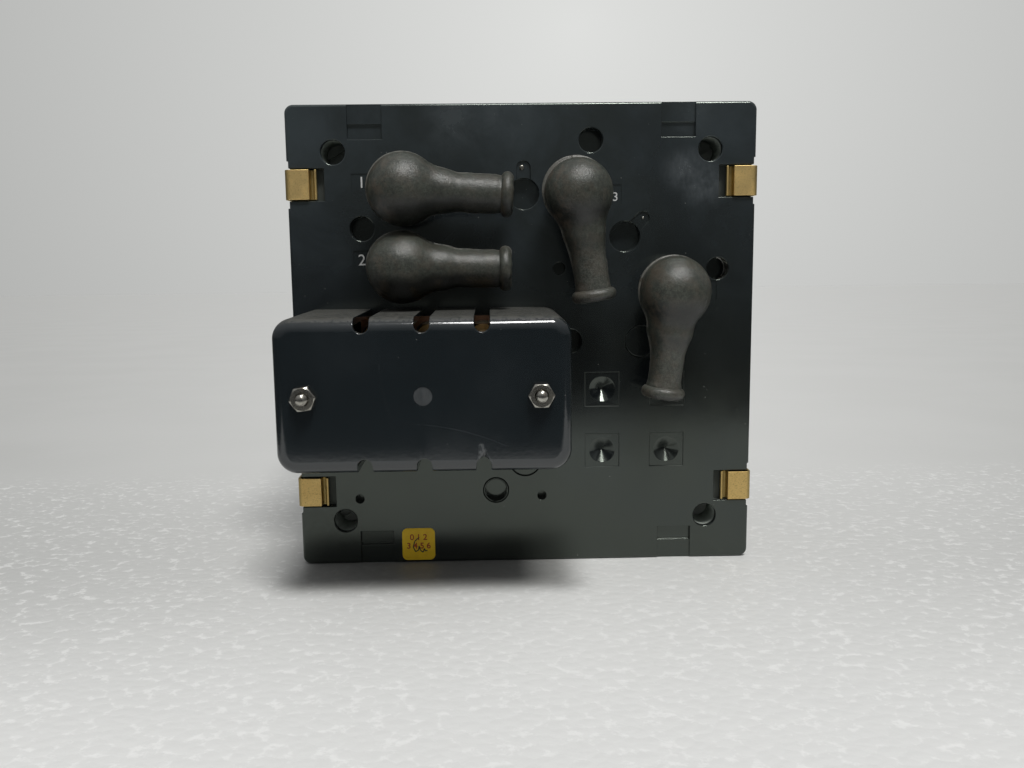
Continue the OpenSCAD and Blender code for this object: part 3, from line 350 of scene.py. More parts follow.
def rubber_look(name, seed, parting):
    """Aged rubber: grey-brown dust on top, a fine grain, paler at the neck and along the parting line."""
    k = Look(name, Specular_IOR_Level=0.6)
    place = k.stretch((1, 1, 1), shift=(seed, 0, seed))
    up = k.step(k.axis(k.normal, "Z"), -0.55, -0.08)
    cloud = k.step(k.noise(150, 4, 0.65, place), 0.36, 0.68)
    grain = k.step(k.noise(2600, 3, 0.75, place), 0.38, 0.62)
    rubbed = k.node("ShaderNodeAttribute")
    rubbed.attribute_name = "rubbed"
    worn = k.times(rubbed.outputs["Fac"], k.step(k.noise(2400, 3, 0.8, place), 0.44, 0.62))
    dust = k.times(k.times(up, k.level(cloud, 0.70, 1.0)), k.level(grain, 0.55, 1.0))
    dust = k.times(dust, k.level(k.step(k.noise(900, 4, 0.75, place), 0.38, 0.62), 0.62, 1.12))
    colour = k.mix(dust, (0.0105, 0.0122, 0.0105), (0.083, 0.091, 0.074))
    left = k.step(k.axis(k.normal, "X"), 0.1, -0.7)
    brown = k.step(k.noise(260, 5, 0.75, place), 0.44, 0.60)
    brown = k.times(brown, k.calc("MAXIMUM", k.times(up, 0.5), left))
    colour = k.mix(k.times(brown, 0.5), colour, (0.105, 0.080, 0.058))
    colour = k.mix(k.times(worn, 0.5), colour, (0.15, 0.145, 0.130))
    off = k.calc("ABSOLUTE", k.calc("SUBTRACT", k.axis(k.place, "Y"), parting))
    seam = k.times(k.step(off, 0.55 * MM, 0.15 * MM), k.step(k.noise(500, 4, 0.7, place), 0.36, 0.52))
    k.set("Base Color", k.mix(k.times(seam, 0.55), colour, (0.21, 0.205, 0.185)))
    k.set("Roughness", k.level(k.calc("ADD", k.times(cloud, 0.6), k.times(worn, 0.4)), 0.31, 0.44))
    lumps = k.times(k.noise(300, 3, 0.6, place), 1.5)
    k.bump(k.calc("ADD", k.noise(2400, 4, 0.75, place), lumps), 0.36, 0.0003)
    return k.material


def metal_look(name, bright, tarnish, rough, spread=0.5, brushed=(1, 1, 1), stain=None):
    """Metal with patchy tarnish, a brushed grain and, where given, brown stains."""
    k = Look(name, Metallic=1.0)
    patch = k.step(k.noise(230, 5, 0.65), 0.62 - spread * 0.4, 0.78)
    fine = k.noise(1500, 3, 0.6, k.stretch(brushed))
    dull = k.calc("ADD", k.times(patch, 0.75), k.times(k.step(fine, 0.5, 0.75), 0.25))
    colour = k.mix(dull, bright, tarnish)
    if stain:
        spots = k.step(k.noise(420, 4, 0.7), 0.58, 0.68)
        colour = k.mix(k.times(spots, 0.8), colour, stain)
        k.set("Metallic", k.level(spots, 1.0, 0.55))
    k.set("Base Color", colour)
    k.set("Roughness", k.level(k.calc("ADD", k.times(patch, 0.6), k.times(fine, 0.4)), rough, rough + 0.2))
    k.bump(fine, 0.10, 0.0001)
    return k.material


def clip_look():
    """Rolled brass: mottled, with painted shade in the fold and a painted reflection that darkens the outer
    bend, dimmer at the lower clips.
    """
    k = Look("clip_brass", Metallic=1.0)
    patch = k.step(k.noise(230, 5, 0.65), 0.40, 0.75)
    fine = k.noise(1500, 3, 0.6, k.stretch((1, 1, 0.15)))
    low = k.step(k.axis(k.place, "Z"), 0.01, -0.01)
    pits = k.times(k.step(k.noise(2300, 4, 0.8), 0.52, 0.62), k.level(low, 0.35, 0.75))
    fold = k.step(k.axis(k.place, "Y"), REAR - 0.5 * MM, REAR + 0.1 * MM)
    bend = k.step(k.calc("ABSOLUTE", k.axis(k.place, "X")), CASE_HIGH.x - 0.9 * MM, CASE_HIGH.x + 0.3 * MM)
    colour = k.mix(k.calc("ADD", k.times(patch, 0.6), k.times(k.step(fine, 0.5, 0.75), 0.25)),
                   (1.0, 0.74, 0.32), (0.96, 0.69, 0.28))
    colour = k.mix(k.times(low, 0.52), colour, (0.46, 0.31, 0.10))
    colour = k.mix(k.times(pits, 0.7), colour, (0.30, 0.20, 0.06))
    # Painted shade in the fold, and a painted reflection that darkens the outer bend.
    k.set("Base Color", k.mix(k.times(k.any([fold, bend]), 0.6), colour, (0.27, 0.23, 0.10)))
    k.set("Roughness", k.level(k.calc("ADD", k.times(patch, 0.6), k.times(fine, 0.4)), 0.42, 0.62))
    k.bump(fine, 0.10, 0.0001)
    return k.material


def plastic_look(name, colour, pale, rough, grain=2200, depth=0.12):
    """Moulded plastic with a fine grain, faint clouding and light dust."""
    k = Look(name)
    cloud = k.step(k.noise(60, 4, 0.6), 0.45, 0.75)
    dust = k.specks(500, 0.06, 0.10)
    tone = k.mix(k.times(cloud, 0.5), colour, pale)
    k.set("Base Color", k.mix(k.times(dust, 0.4), tone, (0.3, 0.3, 0.28)))
    k.set("Roughness", k.level(cloud, rough, rough + 0.12))
    k.bump(k.noise(grain, 2), depth, 0.0002)
    return k.material


def paint_look(name, colour, second, rough, scale=90):
    """Even paint, ink or paper with slight mottling."""
    k = Look(name)
    mottle = k.noise(scale, 5, 0.65)
    k.set("Base Color", k.mix(k.step(mottle, 0.35, 0.7), colour, second))
    k.set("Roughness", k.level(mottle, rough - 0.05, rough + 0.08))
    k.bump(k.noise(2500, 2), 0.05, 0.0001)
    return k.material


def glass_look():
    """Clear window with the faintest film of dust."""
    k = Look("window_glass", Base_Color=(0.97, 0.985, 0.98), Transmission_Weight=1.0, IOR=1.5)
    k.set("Roughness", k.level(k.step(k.noise(120, 4), 0.5, 0.8), 0.0, 0.05))
    return k.material


def winding_look():
    """Varnished copper wire laid in close turns."""
    k = Look("copper_winding", Metallic=0.6, Roughness=0.35)
    turns = k.node("ShaderNodeTexWave", Vector=k.place, Scale=700)
    turns.bands_direction = "Y"
    wire = turns.outputs["Fac"]
    k.set("Base Color", k.mix(wire, (0.14, 0.05, 0.02), (0.52, 0.24, 0.10)))
    k.bump(wire, 0.5, 0.0002)
    return k.material


def floor_look():
    """Pale foam board with a pebbled grain, with painted light that dims to the sides and behind, and a
    painted shadow under the cover.
    """
    k = Look("pale_floor", Specular_IOR_Level=0.4)
    x, y = k.axis(k.place, "X"), k.axis(k.place, "Y")
    beads = k.cells(310)[0]
    grain = k.noise(420, 3, 0.6)
    ahead = k.calc("SUBTRACT", y, CAMERA_AT.y)
    aside = k.calc("DIVIDE", k.calc("SUBTRACT", x, CAMERA_AT.x), k.calc("MAXIMUM", ahead, 0.05))
    off = k.calc("ABSOLUTE", k.calc("SUBTRACT", aside, GLOW_ASIDE))
    # Painted light: a glow behind the object, dimmer to the sides and paler towards the front.
    tone = k.mix(k.level(off, 0.0, 1 / GLOW_REACH), FLOOR_GLOW, FLOOR_DIM)
    tone = k.mix(k.step(y, FLOOR_SHADE_AT, FLOOR_PALE_AT), tone, FLOOR_PALE)
    tone = k.mix(k.times(k.step(k.noise(9, 3), 0.35, 0.65), 0.04), tone, (1, 1, 1))
    front = k.step(y, 0.06, 0.02)
    fleck = k.times(k.step(beads, 0.50, 0.72), k.step(k.noise(320, 3, 0.7), 0.47, 0.60))
    tone = k.mix(k.times(k.times(fleck, front), 0.45), tone, (0.97, 0.975, 0.965))
    # Painted shadow under the terminal cover.
    shade = k.times(k.between(x, *SHADE_X), k.between(y, *SHADE_Y))
    k.set("Base Color", k.mix(k.times(shade, 0.68), tone, (0.10, 0.10, 0.092)))
    k.set("Roughness", k.level(grain, 0.4, 0.6))
    k.bump(k.times(k.calc("SUBTRACT", k.times(grain, 0.6), beads), k.level(front, 0.35, 1.0)), 0.16, 0.0009)
    return k.material


LOOKS = {
    "rear_moulding": plate_look(),
    "cover_moulding": cover_look(),
    "case_moulding": plastic_look("case_moulding", (0.014, 0.014, 0.0155), (0.024, 0.024, 0.025), 0.42),
    "bezel_moulding": plastic_look("bezel_moulding", (0.012, 0.012, 0.013), (0.018, 0.018, 0.019), 0.32,
                                   grain=3000, depth=0.06),
    "window": glass_look(),
    "gasket": plastic_look("gasket_rubber", (0.03, 0.03, 0.032), (0.05, 0.05, 0.05), 0.7),
    "boot_rubber": rubber_look("boot_rubber", 0.0, REAR),
    "clip_brass": clip_look(),
    "terminal_brass": metal_look("terminal_brass", (0.66, 0.50, 0.28), (0.42, 0.30, 0.14), 0.28, 0.5),
    "nickel": metal_look("dull_nickel", (0.44, 0.43, 0.39), (0.18, 0.17, 0.14), 0.18, 0.6,
                         stain=(0.08, 0.055, 0.035)),
    "screw_steel": metal_look("screw_steel", (0.50, 0.50, 0.50), (0.28, 0.27, 0.26), 0.32, 0.5),
    "copper": metal_look("terminal_copper", (0.62, 0.36, 0.24), (0.38, 0.20, 0.13), 0.36, 0.6),
    "winding": winding_look(),
    "sticker": paint_look("sticker_paper", (1.0, 0.67, 0.018), (0.90, 0.56, 0.018), 0.45, 160),
    "chassis": metal_look("chassis_aluminium", (0.70, 0.71, 0.72), (0.56, 0.57, 0.58), 0.35, 0.3,
                          brushed=(0.05, 1, 1)),
    "board": plastic_look("circuit_board", (0.02, 0.10, 0.035), (0.03, 0.13, 0.05), 0.35),
    "board_parts": plastic_look("board_parts", (0.05, 0.052, 0.055), (0.09, 0.09, 0.09), 0.45),
    "dial": paint_look("dial_paint", (0.93, 0.925, 0.89), (0.90, 0.89, 0.85), 0.45, 40),
    "magnet": metal_look("magnet_iron", (0.36, 0.36, 0.37), (0.22, 0.22, 0.22), 0.4, 0.5),
    "bridge_brass": metal_look("bridge_brass", (0.72, 0.60, 0.36), (0.55, 0.42, 0.22), 0.3, 0.4),
    "jewel": metal_look("jewel_screw", (0.70, 0.50, 0.34), (0.5, 0.34, 0.2), 0.3, 0.4),
    "pointer_black": paint_look("pointer_paint", (0.012, 0.012, 0.012), (0.02, 0.02, 0.02), 0.5),
    "hairspring": metal_look("hairspring_bronze", (0.70, 0.55, 0.30), (0.5, 0.36, 0.18), 0.3, 0.4),
}
INK_WHITE = paint_look("label_white", (0.78, 0.79, 0.78), (0.60, 0.61, 0.60), 0.5, 900)
INK_BLACK = paint_look("scale_black", (0.014, 0.014, 0.014), (0.03, 0.03, 0.03), 0.5, 300)
INK_BROWN = paint_look("sticker_ink", (0.42, 0.05, 0.012), (0.50, 0.09, 0.015), 0.5, 900)
INK_PEN = paint_look("sticker_pen", (0.03, 0.035, 0.02), (0.07, 0.06, 0.02), 0.5, 600)

# The screws deep in the corner wells are pale: dust, and painted light standing in for light reaching the
# well floors.
SCREW_DUST_AND_PAINTED_LIGHT = plastic_look("screw_dust_and_painted_light", (0.36, 0.38, 0.36), (0.44, 0.45, 0.43), 0.6)
THREAD_STEEL = metal_look("thread_steel", (0.34, 0.34, 0.32), (0.10, 0.10, 0.09), 0.22, 0.5)
SPECIAL_LOOKS = {"case_screws": SCREW_DUST_AND_PAINTED_LIGHT}

for name, node in nodes.items():
    node.data.materials.clear()
    node.data.materials.append(SPECIAL_LOOKS.get(name, LOOKS[slot_of[name]]))


# Pieces
def add_object(name, data):
    made = bpy.data.objects.new(name, data)
    bpy.context.scene.collection.objects.link(made)
    return made


def add_piece(name, mesh, material, body, stands_for=()):
    made = add_object(name, mesh)
    mesh.materials.clear()
    mesh.materials.append(material)
    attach(made, body)
    if stands_for:
        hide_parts(*stands_for)
    return made


def smooth(mesh, angle):
    for face in mesh.polygons:
        face.use_smooth = True
    mesh.set_sharp_from_angle(angle=math.radians(angle))


def whole_turn(steps):
    """Angles at even steps over a whole turn."""
    return [2 * math.pi * i / steps for i in range(steps)]


def to_mesh(shape, name):
    mesh = bpy.data.meshes.new(name)
    shape.to_mesh(mesh)
    shape.free()
    return mesh


def skin_mesh(shape, name):
    """The mesh of a skin, with its faces turned outwards."""
    bmesh.ops.recalc_face_normals(shape, faces=shape.faces)
    return to_mesh(shape, name)


def ring_faces(shape, rings, closed=False):
    """Joins rings of vertices to one skin; a closed one also joins the last to the first."""
    count = len(rings[0])
    for low, high in zip(rings, rings[1:] + (rings[:1] if closed else [])):
        for i in range(count):
            shape.faces.new((low[i], low[(i + 1) % count], high[(i + 1) % count], high[i]))


def cut(base, how, tool):
    """The mesh left when a boolean with another mesh is applied."""
    first, second = (add_object("boolean", m) for m in (base, tool))
    change = first.modifiers.new("boolean", "BOOLEAN")
    change.operation = how
    change.object = second
    change.solver = "EXACT"
    done = bpy.data.meshes.new_from_object(first.evaluated_get(bpy.context.evaluated_depsgraph_get()))
    for part in (first, second):
        bpy.data.objects.remove(part)
    return done


def reach_of(face, edge):
    """How far a face goes from one of its edges."""
    a, b = (v.co for v in edge.verts)
    along = (b - a).normalized()
    return max(((v.co - a) - along * (v.co - a).dot(along)).length for v in face.verts)


# Points of cones, where many edges meet, get a small flat so that the cone shades as one
TIP_EDGES = 15
TIP_FLAT = 0.15 * MM


def round_rims(shape, level, limits, width, least, square):
    """Rounds the rims of round or square holes in a face at a level of Y.

    Only holes are taken whose rim keeps to the limits of radius and which are deeper than least.
    """
    waiting = {e for e in shape.edges if len(e.link_faces) == 2 and e.calc_face_angle(0) > math.radians(60)
               and all(abs(v.co.y - level) < 0.01 * MM for v in e.verts)}
    chosen = []
    while waiting:
        loop = [waiting.pop()]
        for edge in loop:
            linked = {e for v in edge.verts for e in v.link_edges} & waiting
            waiting -= linked
            loop.extend(linked)
        points = {v for e in loop for v in e.verts}
        middle = sum((v.co for v in points), Vector()) / len(points)
        arms = [(v.co - middle).length for v in points]
        depth = max(abs(v.co.y - level) for f in loop[0].link_faces for v in f.verts)
        fits = limits[0] < min(arms) and max(arms) < limits[1] and max(arms) - min(arms) < 0.1 * MM
        if fits and depth > least and (len(loop) == 4) == square:
            chosen += loop
    bmesh.ops.bevel(shape, geom=chosen, offset=width, segments=3, profile=0.5, affect="EDGES",
                    clamp_overlap=False)


# Round holes and square pits of the base: limits of the rim's radius, rounding and least depth
RIM_RADII = (2.8 * MM, 4.2 * MM)
RIM_ROUND = 0.36 * MM
RIM_LEAST = 1 * MM
PIT_CORNERS = (7 * MM, 7.6 * MM)
PIT_SLOPE = 0.16 * MM
PIT_LEAST = 0.25 * MM
# Edges that turn by more than this are rounded
SHARP_ANGLE = math.radians(35)


def soften(node, width, chip=None):
    """A copy that stands for a CAD piece, with its sharp edges rounded; it may lose a chip."""
    shape = bmesh.new()
    shape.from_mesh(nodes[node].data)
    bmesh.ops.remove_doubles(shape, verts=shape.verts, dist=0.002 * MM)
    bmesh.ops.dissolve_limit(shape, angle_limit=math.radians(0.5), verts=shape.verts, edges=shape.edges)
    tips = [v for v in shape.verts if len(v.link_edges) > TIP_EDGES]
    bmesh.ops.bevel(shape, geom=tips, offset=TIP_FLAT, segments=1, affect="VERTICES", clamp_overlap=False)
    if node == "rear_base":
        round_rims(shape, REAR, RIM_RADII, RIM_ROUND, RIM_LEAST, square=False)
        round_rims(shape, REAR, PIT_CORNERS, PIT_SLOPE, PIT_LEAST, square=True)
    sharp = [e for e in shape.edges if len(e.link_faces) == 2 and e.calc_face_angle(0) > SHARP_ANGLE]
    wide = [e for e in sharp if min(reach_of(f, e) for f in e.link_faces) > 2.5 * width]
    bmesh.ops.bevel(shape, geom=wide, offset=width, segments=2, profile=0.5, affect="EDGES",
                    clamp_overlap=False)
    mesh = to_mesh(shape, node + "_soft")
    if chip:
        mesh = cut(mesh, "DIFFERENCE", chip)
    smooth(mesh, 40)
    made = add_piece(node + "_soft", mesh, LOOKS[slot_of[node]], body_of[node], [node])
    made.modifiers.new("even_shading", "WEIGHTED_NORMAL").keep_sharp = True
    return made


# Rounding of the sharp edges in mm
ROUNDED_EDGES = {
    "rear_base": 0.15, "terminal_cover": 0.2, "front_case": 0.3, "bezel_frame": 0.25,
    "clip_top_left": 0.12, "clip_top_right": 0.12, "clip_bottom_left": 0.12, "clip_bottom_right": 0.12,
}


def chip_tool():
    """The piece that is broken out of the cover's lower edge above one slot, deepest at the slot."""
    x, front, z = CHIP_TIP
    outline = [(-2.1, -3.4), (-1.3, -1.5), (-0.55, -0.5), (0.0, 1.0), (0.55, 0.1), (1.0, -1.1), (2.1, -3.3)]
    shape = bmesh.new()
    for px, pz in outline:
        shape.verts.new((x + px * MM, front - 0.4 * MM, z + (pz + 0.35) * MM))
        shape.verts.new((x + px * 0.75 * MM, front + 1.4 * MM, z + (pz - 1.9) * MM))
    bmesh.ops.convex_hull(shape, input=shape.verts)
    return to_mesh(shape, "chip")


for name, width in ROUNDED_EDGES.items():
    soften(name, width * MM, chip=chip_tool() if name == "terminal_cover" else None)


# Rubber boots: a bulb that narrows to a neck with a beaded end, hollow, with a mouth towards the base
BULB_R = 10.4
NECK_R = 5.1
SHOULDER_R = 18
BEAD_R = 6.3
BEAD_HALF = 1.75
BOOT_WALL = 1.8
BOOT_REACH = 31
SKIRT_R = 7.5
MOUTH_R = 5.2
SOFT_GAP = 0.3
HALF_STEPS = 52
FLASH_H = 0.16
FLASH_W = 0.16
SHOULDER_D = math.sqrt((BULB_R + SHOULDER_R) ** 2 - (NECK_R + SHOULDER_R) ** 2)
BULB_END = BULB_R * SHOULDER_D / (BULB_R + SHOULDER_R)


def ease(low, high, value):
    share = min(max((value - low) / (high - low), 0), 1)
    return share * share * (3 - 2 * share)


def boot_radius(u, inset=0.0):
    """Radius in mm at a distance u along the boot from the centre of its bulb."""
    ball = BULB_R - inset
    if u <= BULB_END * ball / BULB_R:
        return math.sqrt(max(ball * ball - u * u, 0))
    if u < SHOULDER_D:
        curve = SHOULDER_R + inset
        return NECK_R + SHOULDER_R - math.sqrt(curve * curve - (u - SHOULDER_D) ** 2)
    if not inset and u > BOOT_REACH - 2 * BEAD_HALF:
        bead = BEAD_R - BEAD_HALF + math.sqrt(max(BEAD_HALF ** 2 - (u - BOOT_REACH + BEAD_HALF) ** 2, 0))
        return max(bead, NECK_R) if u < BOOT_REACH - BEAD_HALF else bead
    return NECK_R - inset


def lathe_mesh(name, stations, angles, place):
    """A closed mesh through a ring of points at each station, with a pole at each end."""
    shape = bmesh.new()
    rings = [[shape.verts.new(place(u, a)) for a in angles] for u in stations]
    ring_faces(shape, rings)
    count = len(angles)
    for ring, turn in ((rings[0], -1), (rings[-1], 1)):
        middle = shape.verts.new(sum((v.co for v in ring), Vector()) / count)
        for i in range(count):
            shape.faces.new((ring[i], ring[(i + 1) % count], middle)[::turn])
    return skin_mesh(shape, name)


def cylinder(radius, low, high, place, steps=64):
    """A plain cylinder along the last local axis, for a cut."""
    shape = bmesh.new()
    outline = [(radius * math.cos(a), radius * math.sin(a)) for a in whole_turn(steps)]
    rings = [[shape.verts.new(place(x, y, z)) for x, y in outline] for z in (low, high)]
    ring_faces(shape, rings)
    for end in rings:
        shape.faces.new(end)
    return skin_mesh(shape, "tool")


def half_turn():
    """Angles over half a turn, closest together at both ends, where the parting line is."""
    shares = [i / HALF_STEPS for i in range(HALF_STEPS)]
    return [math.pi * (s - 0.9 * math.sin(2 * math.pi * s) / (2 * math.pi)) for s in shares]


BOOT_ANGLES = half_turn() + [math.pi + a for a in half_turn()]
# By boot: shift of the lower mould half along and across, sag of the neck, share of rubbing, a torn end
BOOT_TRAITS = {1: (-0.35, 0.30, -0.6, 0.30, False), 2: (-0.20, 0.35, -0.3, 0.45, True),
               3: (-0.70, -0.55, 0.3, 1.0, False), 4: (-0.25, -0.45, 0.5, 0.75, False)}
# By boot: share of the bulb's size, fullness of the shoulder and change of the neck in mm
BOOT_FORM = {1: (0.985, 0.55, 0.35), 2: (0.975, 0.75, 0.25),
             3: (0.93, 0.5, -0.2), 4: (0.985, 0.85, -0.3)}
# Stretches in mm from the centre of the bulb, from where a trait is absent to where it is full
BULB_SIZED = (18, 9)
NECK_SIZED = (15, 19)
SAGGING = (4, 22)
UNEVEN = (12, 20)
RUBBED = (13, 20)
SHIFTED = (24, 16)
# Place and width of the full shoulder
FULL_AT = 12.5
FULL_W = 2.8
# The tear: its direction round the neck, length and depth; and the length of the other wavy ends
TEAR_AT = -0.9
TEAR_L = 4
TEAR_DEPTH = 2.6
WAVY_L = 2
# Steps along the head, body and bead of a boot, and along and round its hollow
HEAD_STEPS = 40
BODY_STEPS = 70
BEAD_STEPS = 24
HOLLOW_HEAD_STEPS = 20
HOLLOW_BODY_STEPS = 24
HOLLOW_STEPS = 72


def make_boot(number):
    entry = mounts["cable_entry_%d" % number]
    stud = Vector(mounts["terminal_stud_%d" % number]["pos_m"])
    along = Vector(entry["axis"]).normalized()
    out = Vector((0, -1, 0))
    across = out.cross(along)
    middle = Vector((stud.x, entry["pos_m"][1], stud.z))
    height = abs(middle.y - REAR) / MM
    shift_u, shift_v, sag, rubbing, torn = BOOT_TRAITS[number]
    bulb_share, fullness, neck_change = BOOT_FORM[number]
    neck_end = BOOT_REACH - 2 * BEAD_HALF

    def at(u, v, w):
        return middle + (along * u + across * v + out * w) * MM

    def outside(u, a):
        radius = boot_radius(u) * (1 - (1 - bulb_share) * ease(*BULB_SIZED, u))
        radius += fullness * math.exp(-((u - FULL_AT) / FULL_W) ** 2)
        radius += neck_change * ease(*NECK_SIZED, u) * ease(neck_end, neck_end - BEAD_HALF, u)
        v, w = math.cos(a), math.sin(a)
        where = Vector((u * v, w * 3 + number * 7, u))
        line = math.exp(-(radius * w / FLASH_W) ** 2)
        radius += line * FLASH_H * (0.55 + 0.6 * noise.noise(where * 0.5)) * ease(-BULB_R, -BULB_R + 0.6, u)
        spot = Vector((u, radius * v, radius * w + number * 31))
        uneven = 1 + rubbing * ease(*UNEVEN, u)
        radius += 0.10 * noise.noise(spot * 0.16) + 0.03 * noise.noise(spot * 0.7) * uneven
        lower = ease(0.05, -0.30, radius * w) * ease(*SHIFTED, u)
        tail = 0
        if torn and u > BOOT_REACH - TEAR_L:
            gap = abs((a - TEAR_AT + math.pi) % (2 * math.pi) - math.pi)
            ragged = 0.5 * noise.noise(Vector((a * 2, 5, 0)))
            tail = -(u - BOOT_REACH + TEAR_L) / TEAR_L * (TEAR_DEPTH * ease(0.75, 0.1, gap) + ragged)
        elif u > BOOT_REACH - WAVY_L:
            waves = 0.25 * noise.noise(Vector((v * 2, w * 2, number * 3)))
            tail = waves * (u - BOOT_REACH + WAVY_L) / WAVY_L
        side = radius * v + lower * shift_v + sag * ease(*SAGGING, u)
        along_boot = u * (bulb_share if u < 0 else 1)
        return at(along_boot + lower * shift_u + tail, side, max(radius * w, SOFT_GAP - height))

    head = [-BULB_R * math.cos(math.pi / 2 * i / HEAD_STEPS) for i in range(1, HEAD_STEPS + 1)]
    body = [neck_end * i / BODY_STEPS for i in range(1, BODY_STEPS + 1)]
    bead_turns = [math.pi * i / BEAD_STEPS for i in range(1, BEAD_STEPS)]
    bead = [BOOT_REACH - BEAD_HALF - BEAD_HALF * math.cos(a) for a in bead_turns]
    stations = head + body + bead + [BOOT_REACH - 0.01]
    shell = lathe_mesh("boot_%d_shell" % number, stations, BOOT_ANGLES, outside)
    mouth_side = cylinder(SKIRT_R, SOFT_GAP - height, 0, at)
    shell = cut(shell, "UNION", mouth_side)
    inner = BULB_R - BOOT_WALL
    head_turns = [math.pi / 2 * i / HOLLOW_HEAD_STEPS for i in range(1, HOLLOW_HEAD_STEPS + 1)]
    inside = [-inner * math.cos(a) for a in head_turns]
    inside += [SHOULDER_D * i / HOLLOW_BODY_STEPS for i in range(1, HOLLOW_BODY_STEPS + 1)] + [BOOT_REACH + 1]

    def hollow(u, a):
        radius = boot_radius(u, BOOT_WALL)
        return at(u, radius * math.cos(a) + sag * ease(*SAGGING, u), radius * math.sin(a))

    shell = cut(shell, "DIFFERENCE", lathe_mesh("hollow", inside, whole_turn(HOLLOW_STEPS), hollow))
    shell = cut(shell, "DIFFERENCE", cylinder(MOUTH_R, -height - 1, 0, at))
    rubbed = shell.attributes.new("rubbed", "FLOAT", "POINT")
    for i, point in enumerate(shell.vertices):
        u = (point.co - middle).dot(along) / MM
        rubbed.data[i].value = rubbing * ease(*RUBBED, u)
    smooth(shell, 50)
    look = rubber_look("boot_rubber_%d" % number, number * 0.37, middle.y)
    add_piece("boot_%d_rubber" % number, shell, look, "boot_%d" % number, ["boot_%d" % number])


for number in BOOT_TRAITS:
    make_boot(number)


# Cover nuts: chamfered hexagons
NUT_SIDE_STEPS = 16


def make_nut(node):
    low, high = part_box(node)
    middle = (low + high) / 2
    arms = [(v.co.x - middle.x, v.co.z - middle.z) for v in nodes[node].data.vertices]
    corner = max(arms, key=lambda arm: math.hypot(*arm))
    flat = math.hypot(*corner) * math.cos(math.pi / 6)
    bore = min(math.hypot(*arm) for arm in arms)
    start = math.atan2(corner[1], corner[0])
    face_r = 0.96 * flat
    side = math.pi / 3
    angles = [start + side * i / NUT_SIDE_STEPS for i in range(6 * NUT_SIDE_STEPS)]
    round_r = 0.06 * MM
    lead = 0.3 * MM
    shape = bmesh.new()

    def profile(a):
        """Radius, and depth under a face of the nut, from the bore to the side."""
        rim = flat / math.cos((a - start) % side - side / 2)
        slant = (rim - face_r) * math.tan(math.pi / 6)
        return (bore, lead), (bore + lead, 0), (face_r, 0), (rim - round_r, slant), (rim, slant + round_r)

    def ring(row, level, way):
        points = []
        for a in angles:
            r, depth = profile(a)[row]
            x, z = middle.x + r * math.cos(a), middle.z + r * math.sin(a)
            points.append(shape.verts.new((x, level + way * depth, z)))
        return points

    rings = [ring(row, high.y, -1) for row in range(5)] + [ring(row, low.y, 1) for row in reversed(range(5))]
    ring_faces(shape, rings, closed=True)
    mesh = skin_mesh(shape, node + "_hex")
    smooth(mesh, 25)
    add_piece(node + "_hex", mesh, LOOKS["nickel"], body_of[node], [node])


for name in ("cover_nut_left", "cover_nut_right"):
    make_nut(name)


# Studs of the cover and the threaded insert
THREAD_STEPS = 40
BUSH_STEPS = 56
THREAD_ROWS = 8


def wave(share):
    """Triangle wave from 0 to 1, for a thread."""
    share %= 1
    return 2 * min(share, 1 - share)


def make_cover_studs():
    """Rods with a thread and a domed end."""
    low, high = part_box("cover_studs")
    radius = (high.z - low.z) / 2
    pitch, depth, dome, threaded = 0.5 * MM, 0.22 * MM, 0.55 * MM, 12 * MM
    shape = bmesh.new()
    angles = whole_turn(THREAD_STEPS)
    rows = int(threaded / pitch * THREAD_ROWS)
    stations = [high.y] + [low.y + dome + threaded * (1 - i / rows) for i in range(rows + 1)]
    rise = [math.pi / 2 * i / 6 for i in range(1, 6)]
    domed = [(low.y + dome * (1 - math.sin(a)), math.cos(a)) for a in rise]
    thread_end = low.y + dome + threaded

    def ring(x, y, reach):
        points = []
        for a in angles:
            cut_in = depth * wave(y / pitch + a / (2 * math.pi)) * ease(0, 1, (thread_end - y) / MM)
            r = (radius - cut_in * (y < thread_end)) * reach
            z = (low.z + high.z) / 2 + r * math.sin(a)
            points.append(shape.verts.new((x + r * math.cos(a), y, z)))
        return points

    for x in (low.x + radius, high.x - radius):
        rings = [ring(x, y, 1) for y in stations] + [ring(x, y, 0.92 * reach) for y, reach in domed]
        ring_faces(shape, rings)
        for end in (rings[0], rings[-1]):
            shape.faces.new(end)
    mesh = skin_mesh(shape, "cover_studs_thread")
    smooth(mesh, 50)
    slot = slot_of["cover_studs"]
    add_piece("cover_studs_thread", mesh, LOOKS[slot], "case", ["cover_studs"])


def make_insert():
    """Moulded-in bush with an inner thread and a chamfered mouth."""
    low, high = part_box("thread_insert")
    middle = (low + high) / 2
    outer = (high.x - low.x) / 2
    bore = 3.35 * MM
    pitch, depth, lead, rim = 1.25 * MM, 0.6 * MM, 0.15 * MM, 0.2 * MM
    shape = bmesh.new()
    angles = whole_turn(BUSH_STEPS)

    def ring(y, r, cut_in=0.0):
        points = []
        for a in angles:
            reach = r + cut_in * wave(y / pitch + a / (2 * math.pi))
            x, z = middle.x + reach * math.cos(a), middle.z + reach * math.sin(a)
            points.append(shape.verts.new((x, y, z)))
        return points

    rings = [ring(high.y, bore), ring(high.y, outer), ring(low.y + rim, outer), ring(low.y, outer - rim),
             ring(low.y, bore + lead)]
    rows = int((high.y - low.y - lead) / pitch * THREAD_ROWS)
    for i in range(rows):
        rings.append(ring(low.y + lead + (high.y - low.y - lead) * i / rows, bore, depth))
    ring_faces(shape, rings, closed=True)
    mesh = skin_mesh(shape, "thread_insert_bush")
    smooth(mesh, 40)
    add_piece("thread_insert_bush", mesh, THREAD_STEEL, "case", ["thread_insert"])


make_cover_studs()
make_insert()


# Small rivets in the tabs of the two key marks: x, z and radius, and the depth of the tabs, in mm
RIVETS = ((-0.2, 50.2, 0.75), (35.4, 35.3, 0.35))
RIVET_FLOOR = 0.5
RIVET_STEPS = 32


